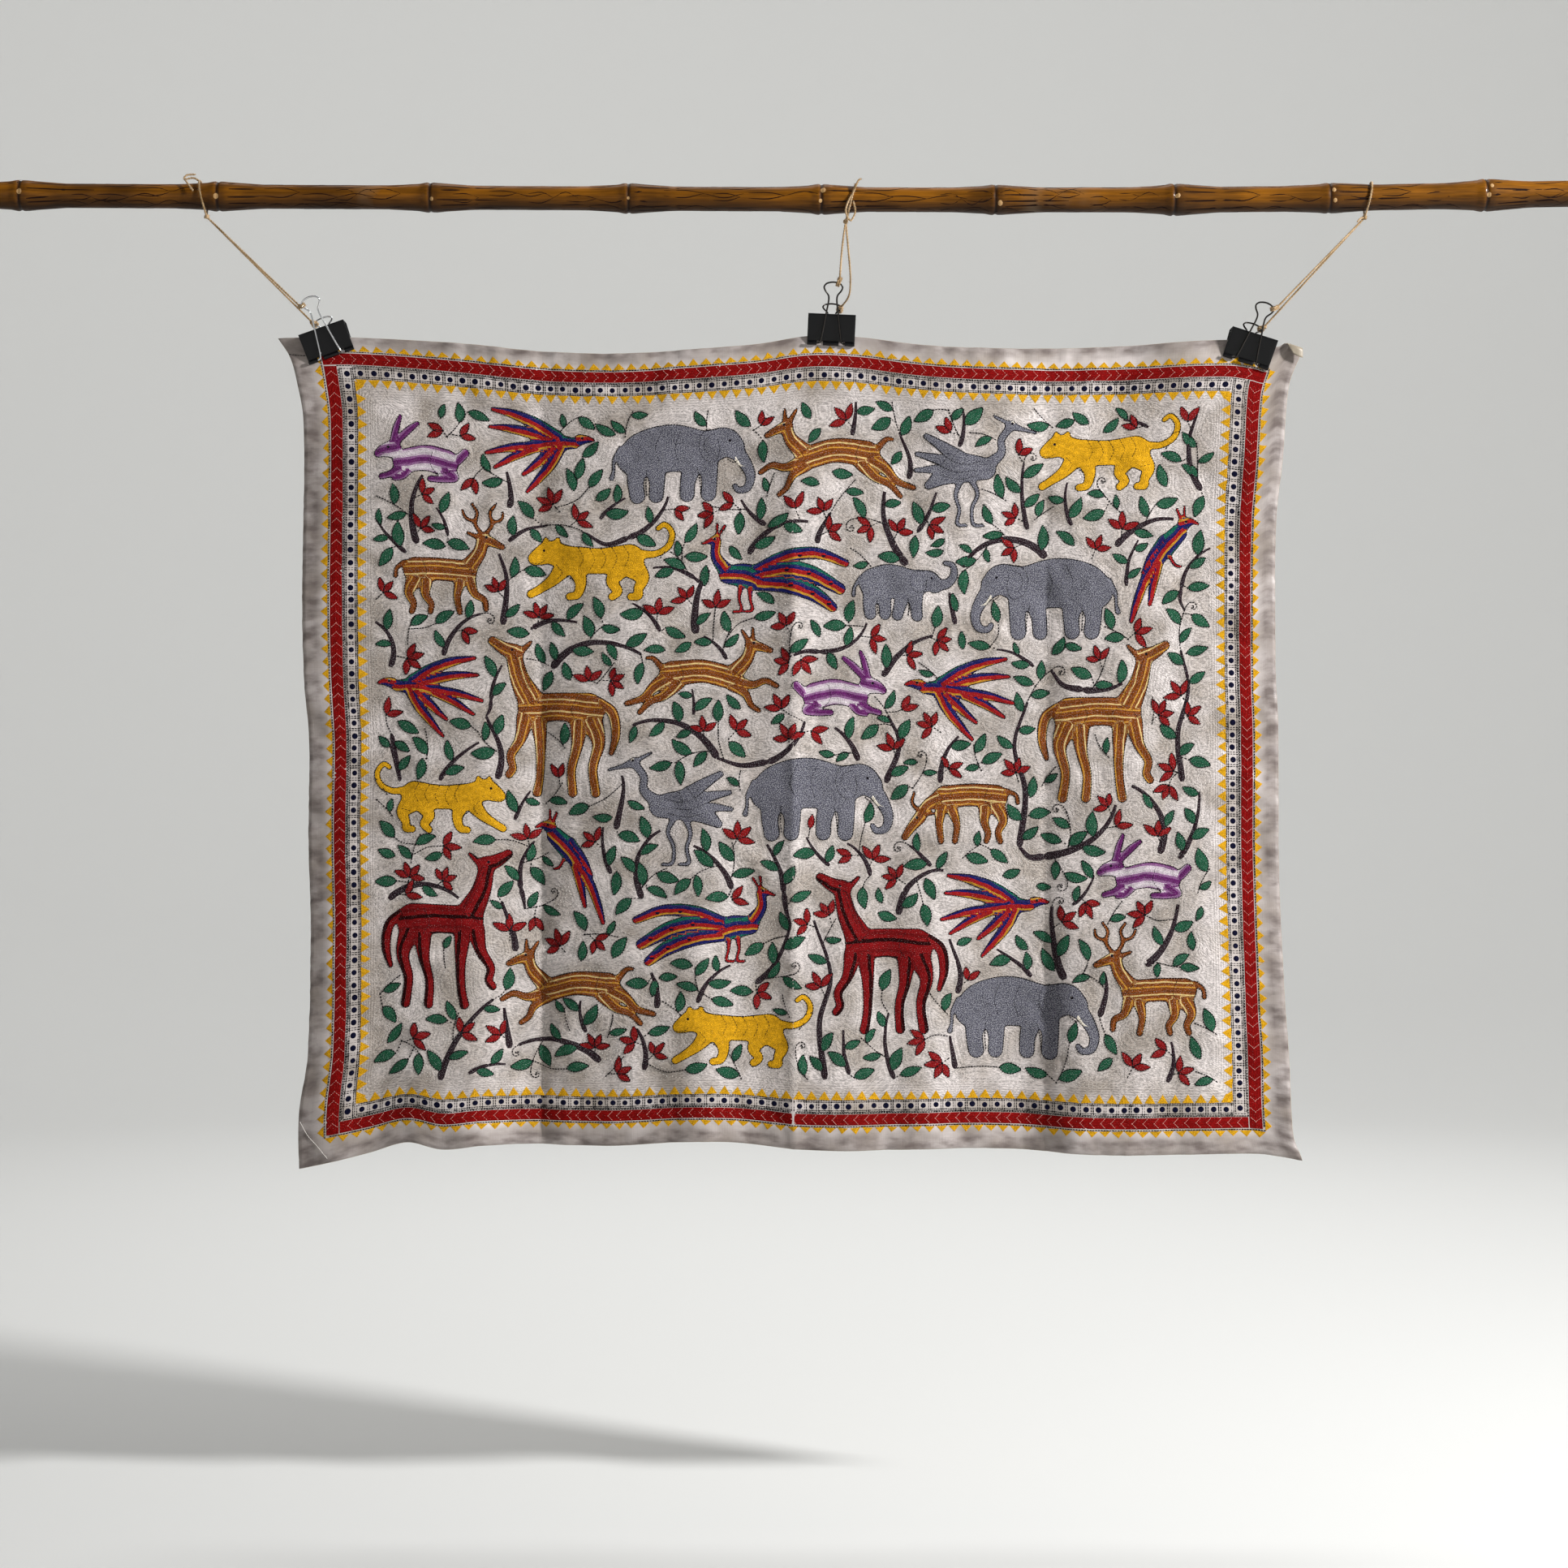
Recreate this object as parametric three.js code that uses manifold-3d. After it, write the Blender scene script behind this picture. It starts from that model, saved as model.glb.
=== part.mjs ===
// A kantha wall hanging: an embroidered cloth held by three binder clips, which hang on jute twine
// from a bamboo pole. Millimetres, +Z up. The cloth's front faces -Y, and the origin is the middle
// of the pole.
import * as THREE from "three";
import { mergeVertices } from "three/addons/utils/BufferGeometryUtils.js";
import Module from "manifold-3d";

const wasm = await Module();
wasm.setup();

// Cloth: its size, and where the left and top edges would lie if it hung flat
const CLOTH_WIDTH = 1050;
const CLOTH_HEIGHT = 866;
const CLOTH_THICKNESS = 1.2;
const CLOTH_LEFT = -516;
const CLOTH_TOP = -156;

// How far from each edge its own unevenness is felt
const SIDE_REACH = 90;
const TOP_REACH = 260;
const BOTTOM_REACH = 160;

// The edges, as they depart from the flat rectangle
const LEFT_EDGE = [
  { down: 0, right: -27 },
  { down: 20, right: -14 },
  { down: 49, right: -6 },
  { down: 84, right: 0 },
  { down: 166, right: -2 },
  { down: 271, right: -4 },
  { down: 358, right: -2 },
  { down: 428, right: 4 },
  { down: 528, right: 4 },
  { down: 628, right: 7 },
  { down: 755, right: 3 },
  { down: 814, right: -7 },
  { down: 866, right: -7 },
];
const RIGHT_EDGE = [
  { down: 0, right: 30 },
  { down: 21, right: 20 },
  { down: 52, right: 8 },
  { down: 126, right: 2 },
  { down: 199, right: -5 },
  { down: 345, right: -5 },
  { down: 421, right: -2 },
  { down: 562, right: -2 },
  { down: 694, right: 3 },
  { down: 764, right: 8 },
  { down: 840, right: 12 },
  { down: 866, right: 22 },
];
const TOP_EDGE = [
  { across: 0, up: 6 },
  { across: 53, up: 7 },
  { across: 157, up: 1 },
  { across: 254, up: -8 },
  { across: 336, up: -11 },
  { across: 415, up: -7 },
  { across: 485, up: -1 },
  { across: 542, up: 8 },
  { across: 594, up: 7 },
  { across: 659, up: -1 },
  { across: 703, up: -4 },
  { across: 800, up: -4 },
  { across: 898, up: 0 },
  { across: 985, up: 4 },
  { across: 1010, up: 0 },
  { across: 1022, up: -4 },
  { across: 1032, up: 2 },
  { across: 1041, up: 12 },
  { across: 1050, up: 9 },
];
const BOTTOM_EDGE = [
  { across: 0, up: -22 },
  { across: 24, up: -16 },
  { across: 74, up: -3 },
  { across: 114, up: 9 },
  { across: 151, up: 2 },
  { across: 192, up: 6 },
  { across: 330, up: 5 },
  { across: 434, up: 11 },
  { across: 546, up: 1 },
  { across: 720, up: 2 },
  { across: 857, up: -4 },
  { across: 1014, up: -4 },
  { across: 1050, up: -11 },
];

// Pressed creases that run down the cloth: a valley goes back, a ridge comes forward
const CREASES = [
  { across: 255.3, back: 10, reach: 62, atTop: 0.35 },
  { across: 525.6, back: -11, reach: 70, atTop: 0.45 },
  { across: 798.5, back: 7, reach: 62, atTop: 0.5 },
];
const CROSS_CREASE = { down: 663, back: -2.5, reach: 22 };

// Slow swells of the whole cloth, in waves over its width and height
const SWELLS = [
  { across: 1.3, down: 0.4, turn: 0.6, back: 5 },
  { across: 2.2, down: -0.7, turn: 2.1, back: 3 },
  { across: 0.6, down: 1.6, turn: 4.4, back: 3.5 },
  { across: 3.4, down: 1.9, turn: 1.2, back: 1.8 },
];
// Flutes that grow towards the lower edge
const FLUTES = [
  { length: 236, turn: 0.5, back: 7 },
  { length: 131, turn: 2.9, back: 3.5 },
  { length: 78, turn: 1.7, back: 1.6 },
];
const FLUTE_POWER = 2.2;
// The side margins curl back
const SIDE_CURL = 7;
const SIDE_CURL_REACH = 26;
// Folds that fan out below a clip
const FAN = { back: 3.2, folds: 4.5, peak: 95 };
// Round a clip the cloth is flat as far as HOLD_NEAR, and hangs freely from HOLD_FAR on
const HOLD_NEAR = 58;
const HOLD_FAR = 150;

// The top right corner flops forward past the clip and shows its back
const FLAP_FROM = 1026;
const FLAP_FULL = 1044;
const FLAP_WIDTH = 17;
const FLAP_RADIUS = 3.2;

const NORMAL_STEP = 1;

// Grid of the cloth, in cells between these marks. Columns fall on the creases
const COLUMN_MARKS = [
  { at: 0, cells: 11 },
  { at: CREASES[0].across, cells: 11 },
  { at: CREASES[1].across, cells: 11 },
  { at: CREASES[2].across, cells: 9 },
  { at: FLAP_FROM, cells: 3 },
  { at: CLOTH_WIDTH, cells: 0 },
];
const ROW_MARKS = [
  { at: 0, cells: 2 },
  { at: FLAP_WIDTH, cells: 18 },
  { at: CROSS_CREASE.down, cells: 7 },
  { at: CLOTH_HEIGHT, cells: 0 },
];

// Bamboo pole: cut square at both ends, thicker at its nodes, a little bowed
const POLE_LENGTH = 1780;
const POLE_SIDES = 12;
const POLE_LINE = [
  { along: -POLE_LENGTH / 2, up: 3.6, radius: 13.4 },
  { along: -755, up: 3, radius: 12.9 },
  { along: -319, up: 0.9, radius: 12.7 },
  { along: 65, up: -0.9, radius: 13 },
  { along: 291, up: -1.3, radius: 13.2 },
  { along: 509, up: -0.6, radius: 13.6 },
  { along: 842, up: 5.2, radius: 13.9 },
  { along: POLE_LENGTH / 2, up: 6, radius: 14 },
];
const POLE_NODES = [
  { along: -818.8, swell: 3.4 },
  { along: -606.9, swell: 3.2 },
  { along: -379.3, swell: 3.3 },
  { along: -166.6, swell: 3.5 },
  { along: 40.1, swell: 3.4 },
  { along: 226.7, swell: 3 },
  { along: 418.6, swell: 3.8 },
  { along: 585.1, swell: 2.6 },
  { along: 752.5, swell: 3.6 },
];
// One node's outline: a slow flare, a groove where the sheath sat, and a slow taper
const NODE_OUTLINE = [
  { from: -46, share: 0 },
  { from: -12, share: 0.55 },
  { from: -3, share: 1 },
  { from: 0, share: 0.66 },
  { from: 3, share: 0.95 },
  { from: 14, share: 0.7 },
  { from: 48, share: 0 },
];

// Binder clips of 51 mm: where the middle of the lips is, and the turn as seen from the front
const CLIPS = [
  { name: "left", across: -485.1, up: -170.7, turn: 19.5 },
  { name: "middle", across: 50.1, up: -158.3, turn: -2.5 },
  { name: "right", across: 494.9, up: -177.5, turn: -17.5 },
];
const CLIP_WIDTH = 51;
const CLIP_HEIGHT = 33;
const CLIP_SPINE = 24;
const CLIP_SHEET = 0.8;
const GAP = 0.3;
const WIRE_PLAY = 0.4;

// Wire handles, drawn as half of one, across and up from the pivot in the lip
const WIRE_RADIUS = 0.95;
const WIRE_SIDES = 6;
const WIRE_STEPS = 38;
const HANDLE_HALF = [
  { across: 19.5, up: 0 },
  { across: 14.6, up: 0 },
  { across: 12, up: 0.8 },
  { across: 11, up: 3.2 },
  { across: 6.3, up: 33 },
  { across: 4.3, up: 48 },
  { across: 5, up: 52 },
  { across: 8.6, up: 57 },
  { across: 9.8, up: 60.6 },
  { across: 7.6, up: 64 },
  { across: 0, up: 66 },
];
const BACK_HANDLE_LEAN = 40;
const NOTCH_WIDTH = 6.8;
const NOTCH_HEIGHT = 4.8;
const NOTCH_AT = 11.8;

// Jute twine. Its steps are those of the loop over the pole, a loop round a wire, and the rest
const TWINE_RADIUS = 1.2;
const TWINE_SIDES = 8;
const POLE_LOOP_STEPS = 22;
const TIE_STEPS = 12;
const STRAND_STEPS = 6;
const END_STEPS = 4;

// The loop over the pole is an arc that starts behind it, below its middle, and its knot hangs below
const POLE_CLEARANCE = 0.6;
const POLE_LOOP_FROM = -35;
const POLE_LOOP_SWEEP = 250;
const POLE_LOOP_POINTS = 12;

// A loop round a wire opens by an angle to each side of its knot, which sits on it by a share of
// the knot's radius
const KNOT_RADIUS = 2.7;
const TIE_RADIUS = 2.95;
const TIE_OPENING = 0.55;
const TIE_POINTS = 8;
const KNOT_SEAT = 0.55;

// Each hanger: the loop over the pole, its knot, and where each strand ties on. ring is the share
// of the way round a handle's wire from its left foot. A strand may pass through points on its way
const HANGERS = [
  {
    name: "left",
    loopTop: -627,
    knot: [-619.5, -3, -20],
    strands: [
      { side: "front", ring: 0.42, via: [] },
      { side: "back", ring: 0.42, via: [] },
    ],
    ends: [
      [[-627, -3, 18], [-633, -6, 21], [-643, -7, 19.5], [-641, -5, 24], [-631, -3, 25.5]],
      [[-642, -7, 19.5], [-638, -13.5, 14], [-631, -18.2, 5]],
    ],
  },
  {
    name: "middle",
    loopTop: 77,
    knot: [66, -13, -27],
    strands: [
      { side: "front", ring: 0.53, via: [[62, -20, -57]] },
      { side: "back", ring: 0.6, via: [[69, -10, -58], [71.5, 8, -86], [70, 22, -101]] },
    ],
    ends: [
      [[74.3, -15.3, 4], [77, -14.5, 11], [80, -9, 18], [83, -4, 20.5]],
      [[74.3, -15.3, 4], [68, -18, -8], [66, -18.8, -18], [71, -19, -27], [76, -18.6, -18], [74, -18, -6]],
    ],
  },
  {
    name: "right",
    loopTop: 630.5,
    knot: [623, -3, -21],
    strands: [
      { side: "front", ring: 0.56, via: [] },
      { side: "back", ring: 0.57, via: [] },
    ],
    ends: [[[623, -3, -21], [618, -7, -22.5], [614, -8, -27]]],
  },
];

const RADIANS = Math.PI / 180;

// A value read from a table by a smooth curve through its rows
function through(rows, key, value, at) {
  const last = rows.length - 1;
  if (at <= rows[0][key]) return rows[0][value];
  if (at >= rows[last][key]) return rows[last][value];
  const i = rows.findIndex((row) => row[key] > at) - 1;
  const slope = (j) => {
    const a = rows[Math.max(j - 1, 0)];
    const b = rows[Math.min(j + 1, last)];
    return (b[value] - a[value]) / (b[key] - a[key]);
  };
  const width = rows[i + 1][key] - rows[i][key];
  const t = (at - rows[i][key]) / width;
  const rise = t * t * (3 - 2 * t);
  return (
    rows[i][value] * (1 - rise) +
    rows[i + 1][value] * rise +
    slope(i) * width * t * (1 - t) * (1 - t) -
    slope(i + 1) * width * t * t * (1 - t)
  );
}

function smoothstep(from, to, at) {
  const t = Math.min(Math.max((at - from) / (to - from), 0), 1);
  return t * t * (3 - 2 * t);
}

// How far a clip lets the cloth move, from 0 at its lips to 1 away from every clip
function freedom(x, z) {
  const near = Math.min(...CLIPS.map((clip) => Math.hypot(x - clip.across, z - clip.up)));
  return smoothstep(HOLD_NEAR, HOLD_FAR, near);
}

// How far back the cloth lies at a place of its flat rectangle
function clothBack(across, down, x, z) {
  const low = down / CLOTH_HEIGHT;
  let back = 0;
  for (const crease of CREASES) {
    const strength = crease.atTop + (1 - crease.atTop) * smoothstep(0, 0.6, low);
    back += crease.back * strength * Math.exp(-Math.abs(across - crease.across) / crease.reach);
  }
  back += CROSS_CREASE.back * Math.exp(-Math.abs(down - CROSS_CREASE.down) / CROSS_CREASE.reach);
  for (const swell of SWELLS) {
    const waves = (swell.across * across) / CLOTH_WIDTH + (swell.down * down) / CLOTH_HEIGHT;
    back += swell.back * Math.sin(2 * Math.PI * waves + swell.turn);
  }
  for (const flute of FLUTES) {
    const wave = Math.sin((2 * Math.PI * across) / flute.length + flute.turn);
    back += flute.back * low ** FLUTE_POWER * wave;
  }
  for (const side of [across, CLOTH_WIDTH - across]) {
    back += SIDE_CURL * Math.exp(-side / SIDE_CURL_REACH);
  }
  for (const clip of CLIPS) {
    const far = Math.hypot(x - clip.across, z - clip.up);
    const angle = Math.atan2(x - clip.across, clip.up - z);
    const strength = (far / FAN.peak) * Math.exp(1 - far / FAN.peak);
    back += FAN.back * strength * Math.cos(FAN.folds * angle + clip.turn);
  }
  return back * freedom(x, z);
}

// The place in space of a place on the flat cloth
function clothPoint(across, down) {
  const flap = FLAP_WIDTH * smoothstep(FLAP_FROM, FLAP_FULL, across);
  const past = Math.max(flap - down, 0);
  const hung = down + past;
  const left = through(LEFT_EDGE, "down", "right", hung) * Math.exp(-across / SIDE_REACH);
  const right =
    through(RIGHT_EDGE, "down", "right", hung) * Math.exp((across - CLOTH_WIDTH) / SIDE_REACH);
  const top = through(TOP_EDGE, "across", "up", across) * Math.exp(-hung / TOP_REACH);
  const bottom =
    through(BOTTOM_EDGE, "across", "up", across) * Math.exp((hung - CLOTH_HEIGHT) / BOTTOM_REACH);
  const x = CLOTH_LEFT + across + left + right;
  const z = CLOTH_TOP - hung + top + bottom;
  const curl = Math.min(past / FLAP_RADIUS, Math.PI);
  const hang = Math.max(past - Math.PI * FLAP_RADIUS, 0);
  return new THREE.Vector3(
    x,
    clothBack(across, hung, x, z) - FLAP_RADIUS * (1 - Math.cos(curl)),
    z + FLAP_RADIUS * Math.sin(curl) - hang,
  );
}

// The cloth's forward direction, from places NORMAL_STEP to each side
function clothNormal(across, down) {
  const a0 = Math.max(across - NORMAL_STEP, 0);
  const a1 = Math.min(across + NORMAL_STEP, CLOTH_WIDTH);
  const d0 = Math.max(down - NORMAL_STEP, 0);
  const d1 = Math.min(down + NORMAL_STEP, CLOTH_HEIGHT);
  const alongWidth = clothPoint(a1, down).sub(clothPoint(a0, down));
  const alongHeight = clothPoint(across, d1).sub(clothPoint(across, d0));
  return alongHeight.cross(alongWidth).normalize();
}

function gridLines(marks) {
  const lines = [];
  marks.slice(0, -1).forEach((mark, i) => {
    for (let k = 0; k < mark.cells; k++) {
      lines.push(mark.at + ((marks[i + 1].at - mark.at) * k) / mark.cells);
    }
  });
  lines.push(marks[marks.length - 1].at);
  return lines;
}

// The cloth as one thin closed sheet: a front and a back grid, joined round the edge
function clothGeometry() {
  const columns = gridLines(COLUMN_MARKS);
  const rows = gridLines(ROW_MARKS);
  const wide = columns.length;
  const high = rows.length;
  const points = [];
  for (const side of [0.5, -0.5]) {
    for (const down of rows) {
      for (const across of columns) {
        const lift = clothNormal(across, down).multiplyScalar(side * CLOTH_THICKNESS);
        points.push(...clothPoint(across, down).add(lift));
      }
    }
  }
  const back = wide * high;
  const index = [];
  for (let r = 0; r < high - 1; r++) {
    for (let c = 0; c < wide - 1; c++) {
      const a = r * wide + c;
      const b = a + 1;
      const d = a + wide;
      const e = d + 1;
      index.push(a, d, b, b, d, e);
      index.push(back + a, back + b, back + d, back + b, back + e, back + d);
    }
  }
  const rim = [];
  for (let c = 0; c < wide - 1; c++) rim.push(c);
  for (let r = 0; r < high - 1; r++) rim.push(r * wide + wide - 1);
  for (let c = wide - 1; c > 0; c--) rim.push((high - 1) * wide + c);
  for (let r = high - 1; r > 0; r--) rim.push(r * wide);
  rim.forEach((a, i) => {
    const b = rim[(i + 1) % rim.length];
    index.push(a, b, back + a, b, back + b, back + a);
  });
  const geometry = new THREE.BufferGeometry();
  geometry.setAttribute("position", new THREE.Float32BufferAttribute(points, 3));
  geometry.setIndex(index);
  geometry.computeVertexNormals();
  return geometry;
}

// The pole's radius without its nodes, and with them
function poleRadius(along) {
  let radius = through(POLE_LINE, "along", "radius", along);
  for (const node of POLE_NODES) {
    radius += node.swell * through(NODE_OUTLINE, "from", "share", along - node.along);
  }
  return radius;
}

function poleUp(along) {
  return through(POLE_LINE, "along", "up", along);
}

// A lathed profile, laid along X and then bent to the pole's bow
function poleGeometry() {
  const half = POLE_LENGTH / 2;
  const stations = [-half, half];
  for (const node of POLE_NODES) {
    for (const row of NODE_OUTLINE) {
      const along = node.along + row.from;
      if (Math.abs(along) < half - 1) stations.push(along);
    }
  }
  stations.sort((a, b) => a - b);
  const profile = stations.map((along) => new THREE.Vector2(poleRadius(along), along));
  profile.unshift(new THREE.Vector2(0, -half));
  profile.push(new THREE.Vector2(0, half));
  const geometry = new THREE.LatheGeometry(profile, POLE_SIDES);
  geometry.rotateZ(-Math.PI / 2);
  const place = geometry.attributes.position;
  for (let i = 0; i < place.count; i++) {
    place.setZ(i, place.getZ(i) + poleUp(place.getX(i)));
  }
  geometry.computeVertexNormals();
  return geometry;
}

// The lip's curl, and the lean of a jaw, which is tangent to it. y and z of the front half
const LIP_INSIDE = CLOTH_THICKNESS / 2 + GAP;
const CURL_INNER = WIRE_RADIUS + WIRE_PLAY;
const CURL_MIDDLE = CURL_INNER + CLIP_SHEET / 2;
const CURL_OUTER = CURL_INNER + CLIP_SHEET;
const PIVOT = { y: -(LIP_INSIDE + CURL_OUTER), z: CURL_OUTER };
const SHOULDER = { y: -(CLIP_SPINE - CLIP_SHEET) / 2, z: CLIP_HEIGHT - CLIP_SHEET / 2 };
const JAW_LEAN =
  Math.atan2(PIVOT.y - SHOULDER.y, SHOULDER.z - PIVOT.z) +
  Math.asin(CURL_MIDDLE / Math.hypot(PIVOT.y - SHOULDER.y, SHOULDER.z - PIVOT.z));
const CURL_SWEEP = 262 * RADIANS;
const CURL_STEPS = 9;
const SHOULDER_ROUND = 1.6;

// The middle line of the folded steel in section, from one curl's free end to the other's
function clipMiddleLine() {
  const front = [];
  for (let i = CURL_STEPS; i >= 0; i--) {
    const angle = JAW_LEAN - (CURL_SWEEP * i) / CURL_STEPS;
    front.push([
      PIVOT.y + CURL_MIDDLE * Math.cos(angle),
      PIVOT.z + CURL_MIDDLE * Math.sin(angle),
    ]);
  }
  front.push([
    SHOULDER.y + SHOULDER_ROUND * Math.sin(JAW_LEAN),
    SHOULDER.z - SHOULDER_ROUND * Math.cos(JAW_LEAN),
  ]);
  front.push([SHOULDER.y + SHOULDER_ROUND, SHOULDER.z]);
  const rear = front.map(([y, z]) => [-y, z]).reverse();
  return [...front, ...rear];
}

// A line thickened to both sides, as a closed outline
function thickened(line, thickness) {
  const sides = [[], []];
  line.forEach(([y, z], i) => {
    const before = line[Math.max(i - 1, 0)];
    const after = line[Math.min(i + 1, line.length - 1)];
    const into = new THREE.Vector2(y - before[0], z - before[1]).normalize();
    const out = new THREE.Vector2(after[0] - y, after[1] - z).normalize();
    const along = into.clone().add(out).normalize();
    const end = i === 0 || i === line.length - 1;
    const reach = thickness / 2 / (end ? 1 : Math.sqrt((1 + into.dot(out)) / 2));
    for (const [k, sign] of [1, -1].entries()) {
      sides[k].push(
        new THREE.Vector2(y - sign * reach * along.y, z + sign * reach * along.x),
      );
    }
  });
  return [...sides[0], ...sides[1].reverse()];
}

function solidOf(geometry) {
  geometry.deleteAttribute("normal");
  geometry.deleteAttribute("uv");
  const merged = mergeVertices(geometry, 1e-4);
  return new wasm.Manifold(
    new wasm.Mesh({
      numProp: 3,
      vertProperties: merged.attributes.position.array,
      triVerts: new Uint32Array(merged.index.array),
    }),
  );
}

function geometryOf(solid) {
  const mesh = solid.getMesh();
  const geometry = new THREE.BufferGeometry();
  geometry.setAttribute("position", new THREE.BufferAttribute(mesh.vertProperties, 3));
  geometry.setIndex(new THREE.BufferAttribute(mesh.triVerts, 1));
  geometry.computeVertexNormals();
  return geometry;
}

// A clip's body: the section drawn out to its width, with notches where the handles come out
function clipGeometry() {
  const section = new THREE.Shape(thickened(clipMiddleLine(), CLIP_SHEET));
  const body = new THREE.ExtrudeGeometry(section, { depth: CLIP_WIDTH, bevelEnabled: false });
  const upright = new THREE.Matrix4().makeBasis(
    new THREE.Vector3(0, 1, 0),
    new THREE.Vector3(0, 0, 1),
    new THREE.Vector3(1, 0, 0),
  );
  body.applyMatrix4(upright);
  body.translate(-CLIP_WIDTH / 2, 0, 0);
  let solid = solidOf(body);
  const notchDepth = 3 * CURL_OUTER;
  for (const side of [-1, 1]) {
    for (const across of [-NOTCH_AT, NOTCH_AT]) {
      const notch = new THREE.BoxGeometry(NOTCH_WIDTH, notchDepth, 2 * NOTCH_HEIGHT);
      notch.translate(across, side * (notchDepth / 2 + GAP), 0);
      solid = solid.subtract(solidOf(notch));
    }
  }
  return geometryOf(solid);
}

function circle(radius, sides) {
  const points = [];
  for (let i = 0; i < sides; i++) {
    const angle = (2 * Math.PI * i) / sides;
    points.push(new THREE.Vector2(radius * Math.cos(angle), radius * Math.sin(angle)));
  }
  return new THREE.Shape(points);
}

function smoothCurve(points) {
  return new THREE.CatmullRomCurve3(points, false, "centripetal");
}

function tubeGeometry(curve, radius, sides, steps) {
  return new THREE.ExtrudeGeometry(circle(radius, sides), {
    steps,
    bevelEnabled: false,
    extrudePath: curve,
  });
}

// The middle line of a handle in its clip's own frame, for side "front" or "back"
function handleCurve(side) {
  const lean = side === "front" ? JAW_LEAN : BACK_HANDLE_LEAN * RADIANS;
  const forward = side === "front" ? -1 : 1;
  const left = HANDLE_HALF.map((row) => ({ across: -row.across, up: row.up }));
  const right = HANDLE_HALF.slice(0, -1).reverse();
  const points = [...left, ...right].map(
    (row) =>
      new THREE.Vector3(
        row.across,
        forward * (-PIVOT.y + row.up * Math.sin(lean)),
        PIVOT.z + row.up * Math.cos(lean),
      ),
  );
  return smoothCurve(points);
}

// The frame of a clip: the middle of its lips, turned about Y
function clipMatrix(clip) {
  return new THREE.Matrix4()
    .makeRotationY(-clip.turn * RADIANS)
    .setPosition(clip.across, 0, clip.up);
}

// A loop of twine round a wire, closed by a knot on the side that the strand comes from
function tiePieces(centre, wireWay, toward) {
  const out = toward.clone().addScaledVector(wireWay, -toward.dot(wireWay)).normalize();
  const side = new THREE.Vector3().crossVectors(wireWay, out);
  const points = [];
  for (let i = 0; i <= TIE_POINTS; i++) {
    const angle = TIE_OPENING + ((2 * Math.PI - 2 * TIE_OPENING) * i) / TIE_POINTS;
    points.push(
      centre
        .clone()
        .addScaledVector(out, TIE_RADIUS * Math.cos(angle))
        .addScaledVector(side, TIE_RADIUS * Math.sin(angle)),
    );
  }
  const knot = centre.clone().addScaledVector(out, TIE_RADIUS + KNOT_RADIUS * KNOT_SEAT);
  points.unshift(knot);
  points.push(knot);
  return { knot, solids: [twineSolid(smoothCurve(points), TIE_STEPS), knotSolid(knot)] };
}

function twineSolid(curve, steps) {
  return solidOf(tubeGeometry(curve, TWINE_RADIUS, TWINE_SIDES, steps));
}

function knotSolid(centre) {
  const ball = new THREE.IcosahedronGeometry(KNOT_RADIUS, 1);
  ball.translate(centre.x, centre.y, centre.z);
  return solidOf(ball);
}

// The loop over the pole, from the knot up behind, over the top and down the front to the knot
function poleLoop(hanger) {
  const knot = new THREE.Vector3(...hanger.knot);
  const thickest = Math.max(poleRadius(hanger.loopTop), poleRadius(knot.x));
  const radius = thickest + TWINE_RADIUS + POLE_CLEARANCE;
  const middle = poleUp(hanger.loopTop);
  const points = [knot];
  for (let i = 0; i <= POLE_LOOP_POINTS; i++) {
    const angle = (POLE_LOOP_FROM + (POLE_LOOP_SWEEP * i) / POLE_LOOP_POINTS) * RADIANS;
    const z = middle + radius * Math.sin(angle);
    const share = (z - knot.z) / (middle + radius - knot.z);
    points.push(
      new THREE.Vector3(
        knot.x + (hanger.loopTop - knot.x) * share,
        radius * Math.cos(angle),
        z,
      ),
    );
  }
  points.push(knot);
  return smoothCurve(points);
}

// One hanger as one solid: its loop, knots, strands and free ends
function twineGeometry(hanger) {
  const clip = CLIPS.find((row) => row.name === hanger.name);
  const matrix = clipMatrix(clip);
  const knot = new THREE.Vector3(...hanger.knot);
  const solids = [twineSolid(poleLoop(hanger), POLE_LOOP_STEPS), knotSolid(knot)];
  for (const strand of hanger.strands) {
    const wire = handleCurve(strand.side);
    const centre = wire.getPointAt(strand.ring).applyMatrix4(matrix);
    const wireWay = wire.getTangentAt(strand.ring).transformDirection(matrix);
    const via = strand.via.map((point) => new THREE.Vector3(...point));
    const last = via.length ? via[via.length - 1] : knot;
    const tie = tiePieces(centre, wireWay, last.clone().sub(centre).normalize());
    const route = [knot, ...via, tie.knot];
    solids.push(...tie.solids, twineSolid(smoothCurve(route), STRAND_STEPS + 2 * via.length));
  }
  for (const end of hanger.ends) {
    const points = end.map((point) => new THREE.Vector3(...point));
    solids.push(twineSolid(smoothCurve(points), END_STEPS * (points.length - 1)));
  }
  return geometryOf(solids.reduce((whole, solid) => whole.add(solid)));
}

function material(color, roughness, metalness) {
  return new THREE.MeshStandardMaterial({ color, roughness, metalness });
}

function named(name, geometry, finish) {
  const mesh = new THREE.Mesh(geometry, finish);
  mesh.name = name;
  return mesh;
}

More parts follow.
